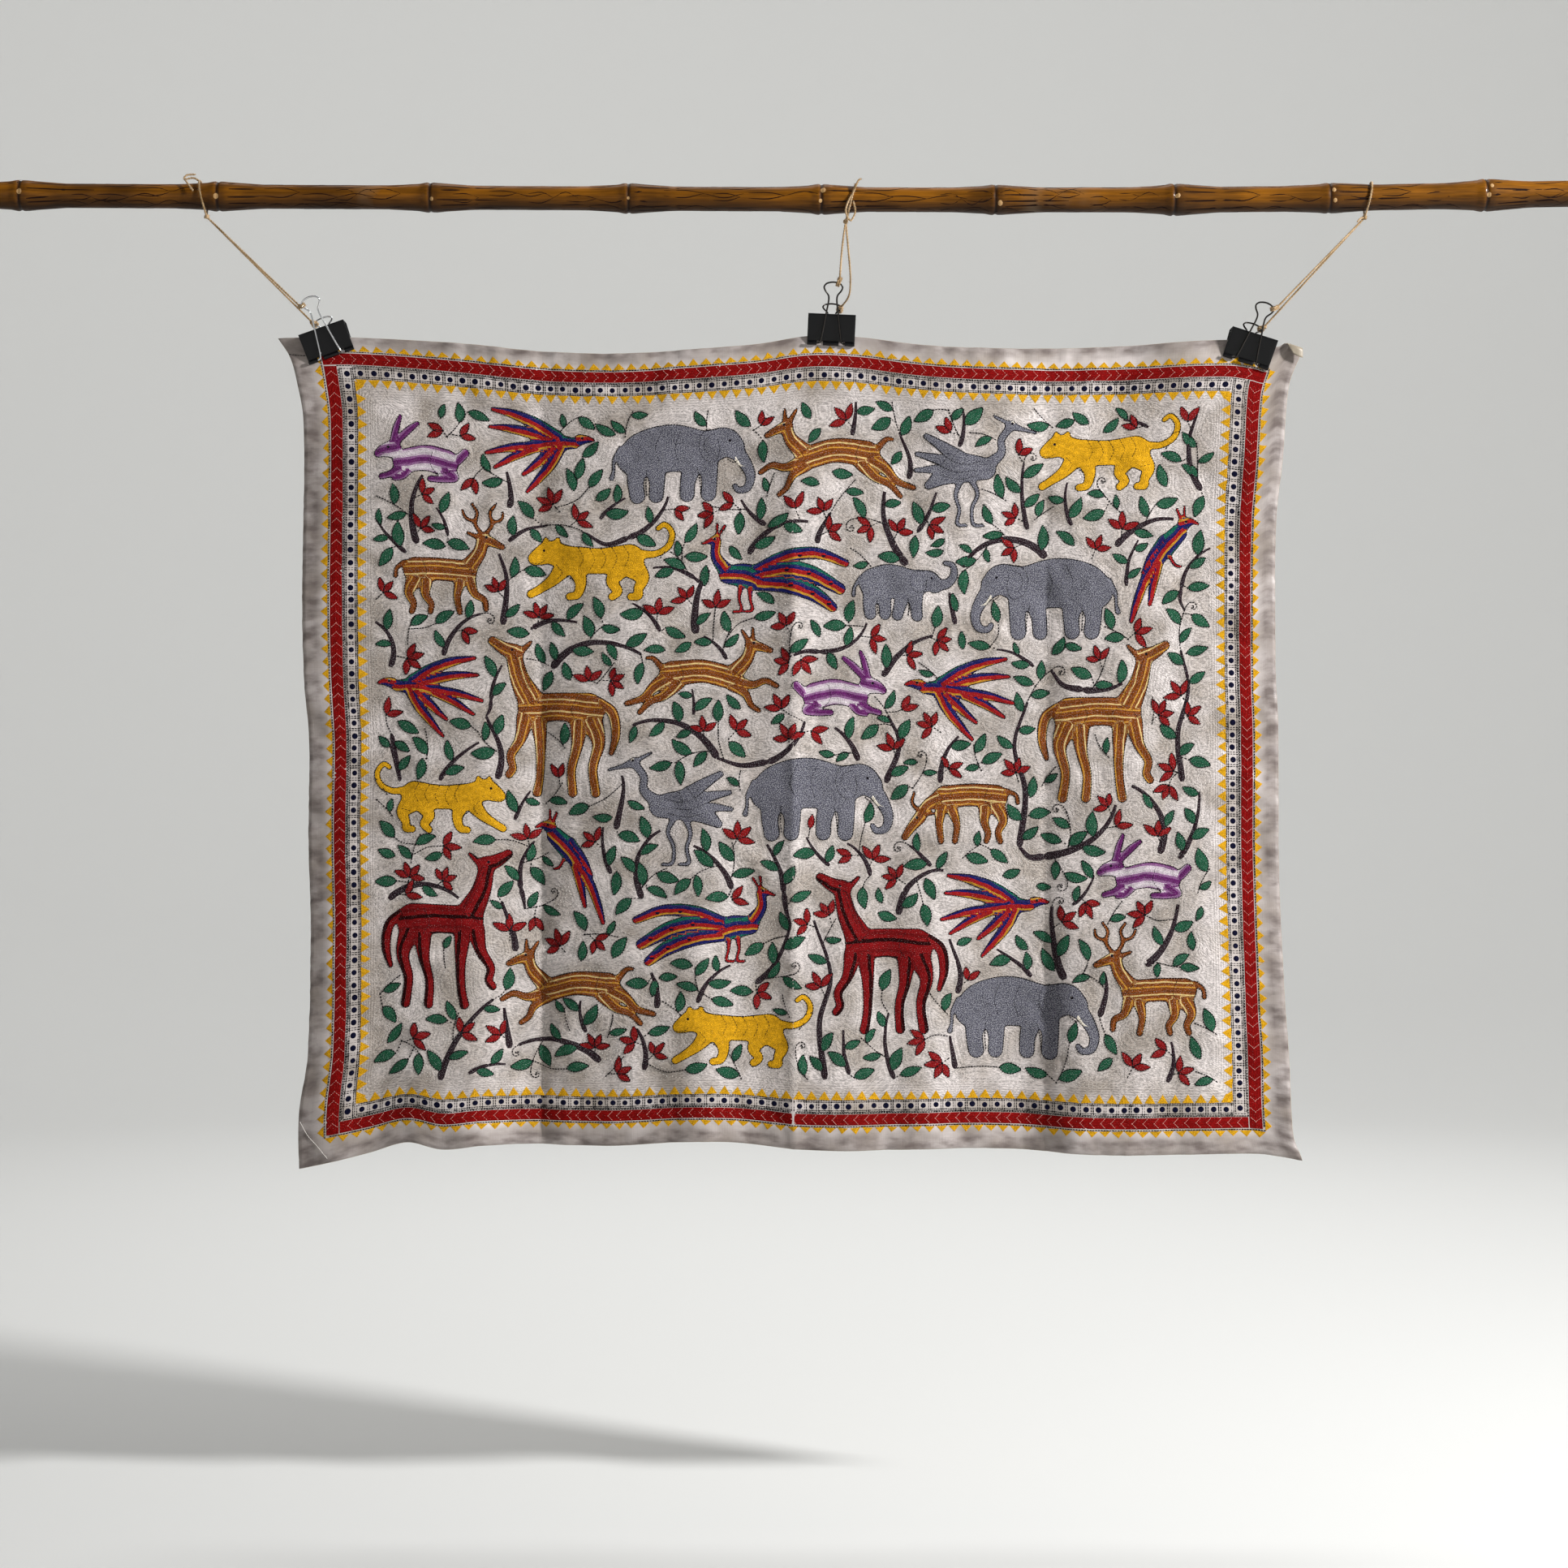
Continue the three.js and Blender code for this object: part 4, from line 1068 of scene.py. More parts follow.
class Side:
    """One side of the border: places along it, clockwise, and inwards from the triangles' tips."""

    def __init__(self, name):
        self.name = name
        self.level = name in ("top", "bottom")
        self.length = CLOTH_WIDTH if self.level else CLOTH_HEIGHT
        self.share = END_SHARE if self.level else 1.0

    def flat(self, along, inward):
        along, inward = np.broadcast_arrays(np.asarray(along, float), np.asarray(inward, float))
        depth = inward * self.share
        across, down = {
            "top": (along, through(TOP_MARGIN, along) + depth),
            "right": (CLOTH_WIDTH - SIDE_MARGIN[1] - depth, along),
            "bottom": (CLOTH_WIDTH - along, CLOTH_HEIGHT - BOTTOM_MARGIN - depth),
            "left": (SIDE_MARGIN[0] + depth, CLOTH_HEIGHT - along),
        }[self.name]
        return np.stack([across, down], axis=-1)

    def span(self, inward):
        """Where along the side the bands of the two neighbouring sides reach this far in."""
        first, last = {
            "top": SIDE_MARGIN, "right": (TOP_MARGIN[-1][1], BOTTOM_MARGIN),
            "bottom": SIDE_MARGIN[::-1], "left": (BOTTOM_MARGIN, TOP_MARGIN[0][1]),
        }[self.name]
        reach = inward * (1.0 if self.level else END_SHARE)
        return first + reach, self.length - last - reach


def band(design, side, first, last):
    """The red band of a side."""
    along = np.arange(first, last + 2, 4.0)
    along[-1] = last
    half = (RED_BAND[1] - RED_BAND[0]) / 2
    middle = side.flat(along, RED_BAND[0] + half)
    ribbon(design.patch("band"), middle, np.full(len(along), half * side.share))


def triangle(design, side, along, width, base, tip, rng):
    """One triangle of a row, from its base to its tip."""
    share = np.linspace(0, 1, 5)
    middle = side.flat(along + rng.uniform(-0.8, 0.8) * share, base + (tip - base) * share)
    ribbon(design.patch("triangle"), middle, width / 2 * (1 - share) + 0.05, columns=2)


def sew_side(design, side, rng):
    """All the rows of one side of the border."""
    border = settings("border")
    pitch, chevrons = border.pitch / MM, border.chevrons / MM
    for base, aim in (OUTER_TRIANGLES[::-1], INNER_TRIANGLES):
        first, last = side.span(base)
        count = int((last - first) / pitch)
        for k in range(count):
            along = first + (k + 0.5) * (last - first) / count
            tip = aim + rng.uniform(-0.9, 0.8)
            triangle(design, side, along, pitch * rng.uniform(0.84, 0.98), base, tip, rng)
    # At a corner one side's band runs through, and the next one stops at it
    whole, short = side.span(RED_BAND[0]), side.span(RED_BAND[1] + 1)
    start = (short if side.name in ("right", "bottom") else whole)[0]
    end = (whole if side.name in ("top", "right") else short)[1]
    band(design, side, start, end)
    middle = (RED_BAND[0] + RED_BAND[1]) / 2
    arm = (RED_BAND[1] - RED_BAND[0]) * 0.36
    for along in np.arange(start + chevrons, end - chevrons / 2, chevrons):
        nod = rng.uniform(-1.2, 1.2)
        for way in (-1, 1):
            ends = side.flat([along + nod, along + nod - arm * 0.85], [middle, middle + way * arm])
            design.thread("chevron", ends)
    first, last = side.span(SQUARES[1] + 1.2 if side.level else SQUARES[0])
    posts = SQUARES[0] + SQUARE_RAIL, SQUARES[1] - SQUARE_RAIL
    rails = [(depth, "fine", first, last) for depth in (*SQUARES, *posts)]
    rails += [(depth, "indigo", *side.span(depth)) for depth in (OUTER_DASHES, INNER_DASHES)]
    for depth, thread, start, end in rails:
        design.thread(thread, side.flat(np.arange(start, end, 6.0), depth))
    count = int((last - first) / pitch)
    step = (last - first) / count
    for k in range(count):
        along = first + (k + 0.5) * step
        nod = rng.uniform(-0.5, 0.5, 2)
        centre = side.flat(along + nod[0], (SQUARES[0] + SQUARES[1]) / 2 + nod[1])
        disc(design.patch("dot"), centre, rng.uniform(2.8, 3.3))
        for post in (-1, 1):
            design.thread("fine", side.flat(along + post * (step / 2 - 1.1), posts))


# Stray ends: a white one over the lower left corner, and a dark one at the upper left
LOOSE_THREADS = (
    ("loose", ((2, 822), (10, 836), (19, 847), (29, 861))),
    ("fine", ((1, 17), (12, 18.5), (24, 18))),
)


@functools.cache
def design():
    """The whole embroidery, worked out once: the border, the animals, then the plants."""
    made = Design()
    rng = np.random.default_rng(settings("thread").seed)
    for name in ("top", "right", "bottom", "left"):
        sew_side(made, Side(name), rng)
    for kind, across, down, size, facing, *finish in HERD:
        animal(made, kind, (across, down), size, facing, *finish)
    for line, thick in TRUNKS:
        path = smooth_path(line, 4.0)
        clear = [made.free([(*place, thick / 2), (*place, thick / 2)], 1.2) for place in path]
        start = 0
        for k in range(len(path) + 1):
            if k < len(path) and clear[k]:
                continue
            if k - start > SHORTEST_TRUNK:
                here = path[start:k]
                foliage(made, rng, here, 2, 5, thick)
                stem(made, here, thick)
                sprig(made, rng, here[-1], bearing_at(here), 46, 2.2, 1)
            start = k + 1
    fill_room(made, rng)
    for name, line in LOOSE_THREADS:
        made.thread(name, smooth_path(line, 2.0))
    return made


def fill_room(made, rng):
    """Grows branches, twigs, flowers and leaves in what room is left, the widest room first."""
    tried = np.zeros_like(made.room, dtype=bool)
    for _ in range(FILL_TRIES):
        room = np.where(tried, -1.0, made.room)
        j, i = np.unravel_index(np.argmax(room), room.shape)
        clear = room[j, i]
        if clear < SMALLEST_ROOM:
            break
        centre = np.array([made.xs[i], made.ys[j]])
        near = (made.xs[None, :] - centre[0]) ** 2 + (made.ys[:, None] - centre[1]) ** 2
        tried |= near < (0.4 * clear) ** 2
        bearing = 90 + rng.uniform(-60, 60)
        if clear > BRANCH_ROOM:
            start = centre - heading(bearing) * clear * 0.9
            line = twig_line(made, rng, start)
            if line is not None:
                bearing = bearing_at(line)
            thick = 0.085 * clear + rng.uniform(1.4, 2.4)
            length = clear * rng.uniform(2.2, 3.2)
            if sprig(made, rng, start, bearing, length, thick, 2) and line is not None:
                stem(made, line[::-1], thick)
            continue
        size = min(24.0, clear * 1.8)
        line = twig_line(made, rng, centre)
        if line is None:
            if clear > LONE_ROOM:
                sprig(made, rng, centre - heading(bearing) * clear * 0.9, bearing, clear * 2, 1.8, 1)
            continue
        bearing = bearing_at(line)
        base = centre - heading(bearing) * size / 2
        line = line[: max(2, len(line) - int(size / 8))]
        blooms = rng.random() < FLOWER_SHARE
        kind, size = (flower, min(17.0, size * 0.9)) if blooms else (leaf, size)
        if kind(made, rng, base, bearing, size):
            bow = line[len(line) // 2] - (line[0] + line[-1]) / 2
            stem(made, [line[0], (line[0] + base) / 2 + bow, base], 1.7)


def attribute(mesh, name, values):
    """Stores a number or a vector for each place of a mesh, which its material reads."""
    values = np.asarray(values, dtype=float)
    vector = values.ndim == 2
    layer = mesh.attributes.new(name, "FLOAT_VECTOR" if vector else "FLOAT", "POINT")
    layer.data.foreach_set("vector" if vector else "value", values.ravel())


def three(flat):
    """Flat places with a third number of zero."""
    return np.column_stack([flat, np.zeros(len(flat))])


def linked(name, data):
    """A new object in the scene."""
    made = bpy.data.objects.new(name, data)
    bpy.context.scene.collection.objects.link(made)
    return made


def new_object(name, places, faces, material, edges=()):
    """A mesh object in the scene, from places in millimetres."""
    mesh = bpy.data.meshes.new(name)
    mesh.from_pydata((np.asarray(places, dtype=float) * MM).tolist(), list(edges), faces)
    mesh.polygons.foreach_set("use_smooth", np.ones(len(mesh.polygons), dtype=bool))
    mesh.materials.append(material)
    return linked(name, mesh)


# The embroidery, seen from the front, fits on a map this wide, in metres
MAP_WIDTH = 1.2


def lay_out(mesh, uv=None):
    """A UV map named OFBake: as given for each corner, or from the front."""
    layer = mesh.uv_layers.new(name="OFBake")
    if uv is None:
        corner = np.empty(len(mesh.loops), dtype=np.int32)
        mesh.loops.foreach_get("vertex_index", corner)
        places = np.empty(len(mesh.vertices) * 3)
        mesh.vertices.foreach_get("co", places)
        x, _, z = places.reshape(-1, 3)[corner].T
        uv = np.column_stack([0.5 + x / MAP_WIDTH, 1.1 + z / MAP_WIDTH])
    layer.data.foreach_set("uv", uv.ravel())


def fitted(made, solid=None):
    """Joins a finished piece to the part, and in the place of a solid if one is named."""
    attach(made, "root")
    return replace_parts(made, solid) if solid else made


def material_tree(name):
    """A new material, and what adds nodes to its empty tree."""
    made = bpy.data.materials.new(name)
    made.use_nodes = True
    made.node_tree.nodes.clear()
    return made, functools.partial(node, made.node_tree)


def surfaced(add, **inputs):
    """Ends a material's tree with its shader."""
    add("OutputMaterial", Surface=add("BsdfPrincipled", **inputs))


def shaded(colour, share=0.0):
    """An opaque colour, moved towards white by a share, or towards black if it is below zero."""
    aim = 1.0 if share > 0 else 0.0
    return (*(c + (aim - c) * abs(share) for c in colour[:3]), 1.0)


# The cloth: two thin layers of old silk, drawn up by the quilting
PRESSED_ROWS = 2.6
HEM_ROLL = 0.5


def silk_material(name, colour, front):
    """Washed tussar silk: soft sheen, uneven yarns, the rows that quilting presses into it, and painted shade
    along those rows and in broad patches.
    """
    made, add = material_tree(name)
    flat = add("Attribute", attribute_name="flat")
    echo = add("Attribute", attribute_name="echo")
    # Slubs are drawn about twice as wide as the real yarns, which no picture of the whole resolves
    warp = add("VectorMath MULTIPLY", flat, (1.1, 0.045, 1.0))
    weft = add("VectorMath MULTIPLY", flat, (0.05, 0.9, 1.0))
    yarns = [add("TexNoise", way, Scale=1.0, Detail=2.0) for way in (warp, weft)]
    yarns = add("Math ADD", *yarns)
    # On the front, broad random patches of the darker worn colour: painted shade of the puckers, and some
    # dull wear
    worn = add("MapRange", add("TexNoise", flat, Scale=0.021, Detail=3.0), 0.36, 0.62)
    light = shaded(colour, 0.1)
    shade_and_wear_tint = shaded(settings("cloth").worn) if front else shaded(colour, 0.02)
    base = add("Mix", worn, _6=shade_and_wear_tint, _7=light, data_type="RGBA")
    # The rows of quilting sink between their ridges, unevenly, and stop at the border
    waver = add("TexNoise", flat, Scale=0.012, Detail=1.0)
    swirl = add("VectorMath SCALE", waver.outputs["Color"], Scale=60.0)
    swirl = add("VectorMath ADD", flat, swirl)
    hatch = add("Mapping", swirl, Rotation=(0, 0, 0.75), Scale=(0.24, 0.95, 1))
    hatch = add("TexNoise", hatch, Scale=1.0, Detail=2.0, Roughness=0.6)
    row = add("Math SINE", add("Math MULTIPLY", echo, 2 * math.pi / PRESSED_ROWS))
    ground = add("MapRange", echo, -15.0, -12.5)
    quilted = add("Math MULTIPLY", add("Math MULTIPLY_ADD", row, 0.07, hatch), ground)
    tone = add("MapRange", yarns, 0.7, 1.3, 0.96, 1.03)
    # Painted shade and highlight: the silk's colour is darker where the rows sink and lighter on their ridges
    painted_row_shade = add("MapRange", quilted, 0.36, 0.62, 0.66, 1.2)
    painted_row_shade = add("Mix", ground, _2=1.0, _3=painted_row_shade, data_type="FLOAT")
    tone = add("Math MULTIPLY", tone, painted_row_shade)
    if front:
        # Real stains in the plain margins, made darker than they are as painted shade as well
        margin = add("MapRange", echo, -46.0, -58.0)
        drawn = add("VectorMath MULTIPLY", flat, (0.6, 1.3, 1.0))
        patchy = add("TexNoise", drawn, Scale=0.06, Detail=4.0)
        cloudy = add("MapRange", patchy, 0.42, 0.66, 0.4, 0.95)
        stain_and_shade_mask = add("Math MULTIPLY", margin, cloudy)
        base = add("Mix", stain_and_shade_mask, _6=base, _7=shaded(settings("cloth").stain_and_shade), data_type="RGBA")
    base = add("VectorMath SCALE", base, Scale=tone)
    height = add("Math MULTIPLY_ADD", yarns, 0.12, quilted)
    bump = add("Bump", Height=height, Distance=1.1 * MM, Strength=1.0)
    surfaced(
        add, Base_Color=base, Normal=bump, Roughness=0.46, Specular_IOR_Level=0.5, Sheen_Weight=0.3,
        Sheen_Roughness=0.35
    )
    return made


def make_cloth():
    """The cloth as a closed skin of both its faces, on the drape."""
    hung = drape()
    rows, columns = hung.across.shape
    half = CLOTH_THICKNESS / 2
    count = rows * columns
    ring = [(0, c) for c in range(columns - 1)] + [(r, columns - 1) for r in range(rows - 1)]
    ring += [(rows - 1, c) for c in range(columns - 1, 0, -1)] + [(r, 0) for r in range(rows - 1, 0, -1)]
    r, c = np.array(ring).T
    inner = hung.places[np.clip(r, 1, rows - 2), np.clip(c, 1, columns - 2)]
    outward = hung.places[r, c] - inner
    outward /= np.linalg.norm(outward, axis=1, keepdims=True)
    rolled = hung.places[r, c] + outward * HEM_ROLL
    skins = [(hung.places + hung.out * side).reshape(-1, 3) for side in (half, -half)]
    grid = np.arange(count).reshape(rows, columns)
    a, b = grid[:-1, :-1].ravel(), grid[1:, :-1].ravel()
    front = np.vstack([np.column_stack([a, b, b + 1]), np.column_stack([a, b + 1, a + 1])])
    back = front[:, ::-1] + count
    edge = r * columns + c
    following = np.roll(edge, -1)
    middle = 2 * count + np.arange(len(ring))
    beyond = np.roll(middle, -1)
    strips = (
        (edge, following, beyond), (edge, beyond, middle),
        (middle, beyond, following + count), (middle, following + count, edge + count),
    )
    rim = np.vstack([np.column_stack(strip) for strip in strips])
    faces = np.vstack([front, back, rim])
    cloth = settings("cloth")
    silk = silk_material("silk_front", cloth.silk, True)
    made = new_object("cloth_quilted", np.vstack([*skins, rolled]), faces.tolist(), silk)
    mesh = made.data
    mesh.materials.append(silk_material("silk_back", cloth.lining, False))
    mesh.polygons.foreach_set("material_index", (np.arange(len(faces)) >= len(front)).astype(int))
    flat = np.column_stack([hung.across.ravel(), hung.down.ravel()])
    echo = read_room(flat)
    attribute(mesh, "flat", three(np.vstack([flat, flat, flat[edge]])))
    attribute(mesh, "echo", np.concatenate([echo, echo, echo[edge]]))
    # The front and the back lie side by side on the map, and the hem goes with the front
    plan = (0, 1) + flat / (CLOTH_WIDTH, CLOTH_HEIGHT) * (0.49, -1)
    plan = np.vstack([plan, plan + (0.51, 0), plan[edge]])
    rim[(rim >= count) & (rim < 2 * count)] -= count
    lay_out(mesh, plan[np.vstack([front, back, rim])])
    return [fitted(made, "cloth")]


def read_room(flat):
    """How far flat places are from the nearest motif or the field's edge, smoothed."""
    made = design()
    i = np.clip(flat[:, 0] / ROOM_CELL, 0, len(made.xs) - 1.001)
    j = np.clip(flat[:, 1] / ROOM_CELL, 0, len(made.ys) - 1.001)
    i0, j0 = i.astype(int), j.astype(int)
    u, v = i - i0, j - j0
    near = made.echo[j0, i0] * (1 - u) + made.echo[j0, i0 + 1] * u
    far = made.echo[j0 + 1, i0] * (1 - u) + made.echo[j0 + 1, i0 + 1] * u
    return near * (1 - v) + far * v


# Filled areas: rows of colour across a limb, each a shade of the setting or a colour of its own,
# the width of one round of rows, the share of light specks of painted glint, and how far the area is raised
FLOSS = {
    "leaf": ((0.0, -0.1), 5.0, 0.3, 0.0),
    "petal": ((0.0, -0.1), 5.0, 0.25, 0.0),
    "branch": ((0.0, 0.01), 4.0, 0.3, 0.0),
    "grey": ((0.0, -0.05, 0.01), 10.0, 0.5, 0.0),
    "rust": ((0.0, -0.35, 0.0, "#E3C481", -0.1, 0.0, "#C98F32", -0.2), 13.0, 0.3, 0.0),
    "yellow": ((0.0, -0.05, 0.0), 12.0, 0.1, 0.0),
    "purple": ((0.0, 0.01, "#8F628E", "#CDBDC8", "#D9CFD3", "#CDBDC8", "#8F628E"), 16.0, 0.2, 0.0),
    "red": ((0.0, 0.0, -0.3, 0.0, -0.9), 19.0, 0.2, 0.0),
    "feather": (
        ("#9C1A1C", "#9C1A1C", "#C08A2A", 0.0, 0.01, "#136351", "#136351", 0.01, 0.0), 19.0, 0.2, 0.0
    ),
    "triangle": ((0.0, -0.08), 3.0, 0.12, 0.0),
    "band": ((0.0, -0.12), 3.1, 0.12, 0.0),
    "dot": ((0.0, -0.2), 2.0, 0.1, 0.06),
    "pale": (("#E8E0D2", "#DDD3C2"), 3.0, 0.0, 0.12),
    "pupil": (("#15121A", "#15121A"), 3.0, 0.0, 0.24),
    "spot": ((0.0, "#B01718"), 5.0, 0.1, 0.18),
}
FLOSS_ROW = 1.3
FLOSS_LIFT = 0.34
FLOSS_EDGE = 0.06


def floss_material(name, colours, stripe, painted_glint_share):
    """Rows of cotton floss side by side: soft and matt, with painted shade in the furrows and between
    stitches, and light specks of painted glint.
    """
    made, add = material_tree(name)
    flat = add("Attribute", attribute_name="flat")
    edge = add("Attribute", attribute_name="edge")
    across = add("Attribute", attribute_name="across")
    wander = add("Math MULTIPLY", add("TexNoise", flat, Scale=0.09, Detail=1.0), 0.14)
    place = add("Math MULTIPLY_ADD", across, 1 / stripe, wander)
    ramp = add("ValToRGB", add("Math FRACT", place))
    ramp.color_ramp.interpolation = "CONSTANT"
    stops = ramp.color_ramp.elements
    for k, colour in enumerate(colours):
        stop = stops[k] if k < 2 else stops.new(k / len(colours))
        stop.position = k / len(colours)
        stop.color = shaded(colour)
    row = add("Math COSINE", add("Math MULTIPLY", edge, 2 * math.pi / FLOSS_ROW))
    # Painted shade: the colour darkens along the furrows between rows of stitches
    painted_furrow_shade = add("MapRange", row, 0.2, 1.0, 1.02, 0.86)
    dye = add("TexNoise", flat, Scale=0.25, Detail=2.0)
    worn = add("MapRange", dye, 0.3, 0.7, 0.75, 1.15)
    # The grain is near the real 1 mm of a stitch's top, and a little coarser than its twist
    grain = add("TexNoise", flat, Scale=0.95, Detail=2.0, Roughness=0.6)
    # Painted shade and highlight: the grain darkens the colour between stitch tops and lightens the tops
    grain_shade_and_highlight = add("MapRange", grain, 0.3, 0.6, 0.5, 1.08)
    tone = add("Math MULTIPLY", add("Math MULTIPLY", worn, painted_furrow_shade), grain_shade_and_highlight)
    dyed = add("VectorMath SCALE", ramp, Scale=tone)
    # Light specks of the floss colour made paler: painted glints on the thread
    start = 0.72 - 0.45 * painted_glint_share
    shown = add("MapRange", grain, start, start + 0.08, 0.0, 0.75)
    mixed = add("Mix", shown, _6=dyed, _7=shaded(colours[0], 0.3), data_type="RGBA")
    height = add("Math MULTIPLY_ADD", row, -0.25, grain)
    bump = add("Bump", Height=height, Distance=0.45 * MM, Strength=0.9)
    surfaced(add, Base_Color=mixed, Normal=bump, Roughness=0.85, Specular_IOR_Level=0.06)
    return made


def make_floss():
    """The filled shapes of the embroidery, one piece for each colouring."""
    pieces = []
    floss = settings("floss")
    for finish, patch in design().patches.items():
        shades, stripe, painted_glint_share, lift = FLOSS[finish]
        own = getattr(floss, finish, floss.navy)
        colours = [linear(shade) if isinstance(shade, str) else shaded(own, shade) for shade in shades]
        flat, faces, across, edge = patch.whole()
        raised = FLOSS_EDGE + FLOSS_LIFT * (1 - np.exp(-np.maximum(edge, 0))) + lift
        places, _ = drape().lay(flat, raised)
        material = floss_material(f"cotton_floss_{finish}", colours, stripe, painted_glint_share)
        made = new_object(f"floss_{finish}", places, faces, material)
        attribute(made.data, "flat", three(flat))
        attribute(made.data, "across", across)
        attribute(made.data, "edge", edge)
        lay_out(made.data)
        pieces.append(fitted(made))
    return pieces


# Running stitches: spacing, length, width and height of a stitch, its thread's colour, and how far
# it lies above the cloth. The dark ones are as wide as their two strands lie side by side
STITCHES = {
    "indigo": (3.0, 2.3, 1.25, 0.6, "indigo", 0.25),
    "outline": (3.0, 2.5, 1.35, 0.6, "indigo", 0.15),
    "reverse": (4.4, 2.4, 1.1, 0.55, "indigo", 0.1),
    "rib": (2.3, 1.7, 0.75, 0.35, "indigo", 0.2),
    "fine": (2.7, 2.3, 1.25, 0.55, "indigo", 0.04),
    "chevron": (1.9, 1.7, 0.65, 0.45, "chevron", 0.36),
    "quilting": (4.5, 1.7, 0.45, 0.35, "white", 0.05),
    "loose": (2.0, 2.1, 0.6, 0.5, "white", 0.3),
}


def set_on(name, numbers, build):
    """A tree that sets copies of a small shape on points, each uneven, and keeps what build returns.

    build(add, entry) gives the points, the shape, its turn, its three sizes, their least and most
    shares, and what is kept beside the copies.
    """
    tree = bpy.data.node_groups.new(name, "GeometryNodeTree")
    add = functools.partial(node, tree)
    floats = dict.fromkeys(numbers, "Float")
    for label, kind in {"Geometry": "Geometry", **floats, "Seed": "Int", "Material": "Material"}.items():
        tree.interface.new_socket(label, in_out="INPUT", socket_type="NodeSocket" + kind)
    tree.interface.new_socket("Geometry", in_out="OUTPUT", socket_type="NodeSocketGeometry")
    entry = add("NodeGroupInput").outputs
    points, shape, turn, askew, sizes, least, most, kept = build(add, entry)
    seed = entry["Seed"]
    vector = {"data_type": "FLOAT_VECTOR"}
    lean = add("FunctionNodeRandomValue", Min=[-a for a in askew], Max=askew, Seed=seed, **vector)
    lean = add("FunctionNodeEulerToRotation", lean)
    turn = add("FunctionNodeRotateRotation", Rotation=turn, Rotate_By=lean, rotation_space="LOCAL")
    size = add("CombineXYZ", **{axis: entry[size] for axis, size in zip("XYZ", sizes)})
    uneven = add("FunctionNodeRandomValue", Min=least, Max=most, Seed=seed, **vector)
    size = add("VectorMath MULTIPLY", size, uneven)
    placed = add("GeometryNodeInstanceOnPoints", Points=points, Instance=shape, Rotation=turn, Scale=size)
    real = add("GeometryNodeRealizeInstances", placed)
    if kept:
        joined = add("GeometryNodeJoinGeometry", Geometry=kept)
        tree.links.new(real.outputs[0], joined.inputs[0])
        real = joined
    finish = add("GeometryNodeSetMaterial", real, Material=entry["Material"])
    add("NodeGroupOutput", finish)
    return tree


def stitch_tree():
    """Geometry nodes that set stitches along edges, each lying on the cloth and a little askew."""

    def build(add, entry):
        curve = add("GeometryNodeMeshToCurve", entry["Geometry"])
        spaced = add("GeometryNodeResampleCurve", Curve=curve, Length=entry["Pitch"], mode="LENGTH")
        # A three-sided bar, one flat side down, 1 long, 1 wide and 1 high
        bar = add("GeometryNodeMeshCylinder", Vertices=3, Radius=0.5, Depth=1.0)
        bar = add("GeometryNodeTransform", bar, Scale=(1 / 0.75, 1 / 0.866, 1.0))
        way = add("GeometryNodeInputTangent")
        along = add("FunctionNodeAlignRotationToVector", Vector=way, axis="Z")
        front = add("GeometryNodeInputNamedAttribute", Name="front", data_type="FLOAT_VECTOR")
        turn = add(
            "FunctionNodeAlignRotationToVector", Rotation=along, Vector=front, axis="X", pivot_axis="Z"
        )
        sizes = ("Height", "Width", "Length")
        return spaced, bar, turn, (0.13, 0.0, 0.0), sizes, (0.8, 0.8, 0.75), (1.25, 1.2, 1.15), None

    return set_on("running_stitch", ("Pitch", "Length", "Width", "Height"), build)


def grown(made, tree, inputs):
    """The plain mesh that a node tree makes of an object, in the object's place."""
    modifier = made.modifiers.new("grown", "NODES")
    modifier.node_group = tree
    for item in tree.interface.items_tree:
        if item.in_out == "INPUT" and item.name in inputs:
            modifier[item.identifier] = inputs[item.name]
    shown = made.evaluated_get(bpy.context.evaluated_depsgraph_get())
    mesh = bpy.data.meshes.new_from_object(shown)
    old = made.data
    made.modifiers.remove(modifier)
    made.data = mesh
    bpy.data.meshes.remove(old)
    mesh.polygons.foreach_set("use_smooth", np.ones(len(mesh.polygons), dtype=bool))
    return made


def thread_material(name, colour, shine):
    """Two strands of cotton: a dark or white thread with a soft line of light along it."""
    made, add = material_tree(name)
    where = add("TexCoord").outputs["Object"]
    dye = add("TexNoise", where, Scale=240.0, Detail=1.0)
    light, dark = shaded(colour), shaded(colour, -0.25)
    tint = add("Mix", dye, _6=dark, _7=light, data_type="RGBA")
    surfaced(add, Base_Color=tint, Roughness=0.6 - 0.3 * shine, Specular_IOR_Level=0.15 + 0.5 * shine)
    return made


def make_stitches(name, parts, tree, seed):
    """Stitches of one thread along lines, each line as flat places and pairs of them."""
    pitch, length, width, height, colour, lift = STITCHES[name]
    flat, edges = joined((places, pairs.tolist()) for places, pairs in parts)
    places, out = drape().lay(flat, lift, -1 if name == "reverse" else 1)
    dye = getattr(settings("thread"), colour)
    material = thread_material(f"thread_{name}", dye, float(colour == "white"))
    made = new_object(f"stitches_{name}", places, [], material, edges)
    attribute(made.data, "front", out)
    sizes = {"Pitch": pitch * MM, "Length": length * MM, "Width": width * MM, "Height": height * MM}
    grown(made, tree, {**sizes, "Seed": seed, "Material": material})
    lay_out(made.data)
    return fitted(made)


def make_threads():
    """The running stitches round the motifs and along the border, and the animals' on the back."""
    tree = stitch_tree()
    seed = settings("thread").seed
    lines = {**design().threads, "reverse": design().threads["outline"]}
    return [make_stitches(name, parts, tree, seed + k) for k, (name, parts) in enumerate(lines.items())]


def make_quilting():
    """White running stitches in rows that echo the motifs, all over the ground."""
    made = design()
    rows = settings("thread").rows / MM
    levels = np.arange(rows * 0.75, ROOM_REACH, rows)
    parts = [level_line(made.echo, made.xs, made.ys, level) for level in levels]
    tree = bpy.data.node_groups["running_stitch"]
    kept = [part for part in parts if len(part[1])]
    return [make_stitches("quilting", kept, tree, settings("thread").seed + 40)]


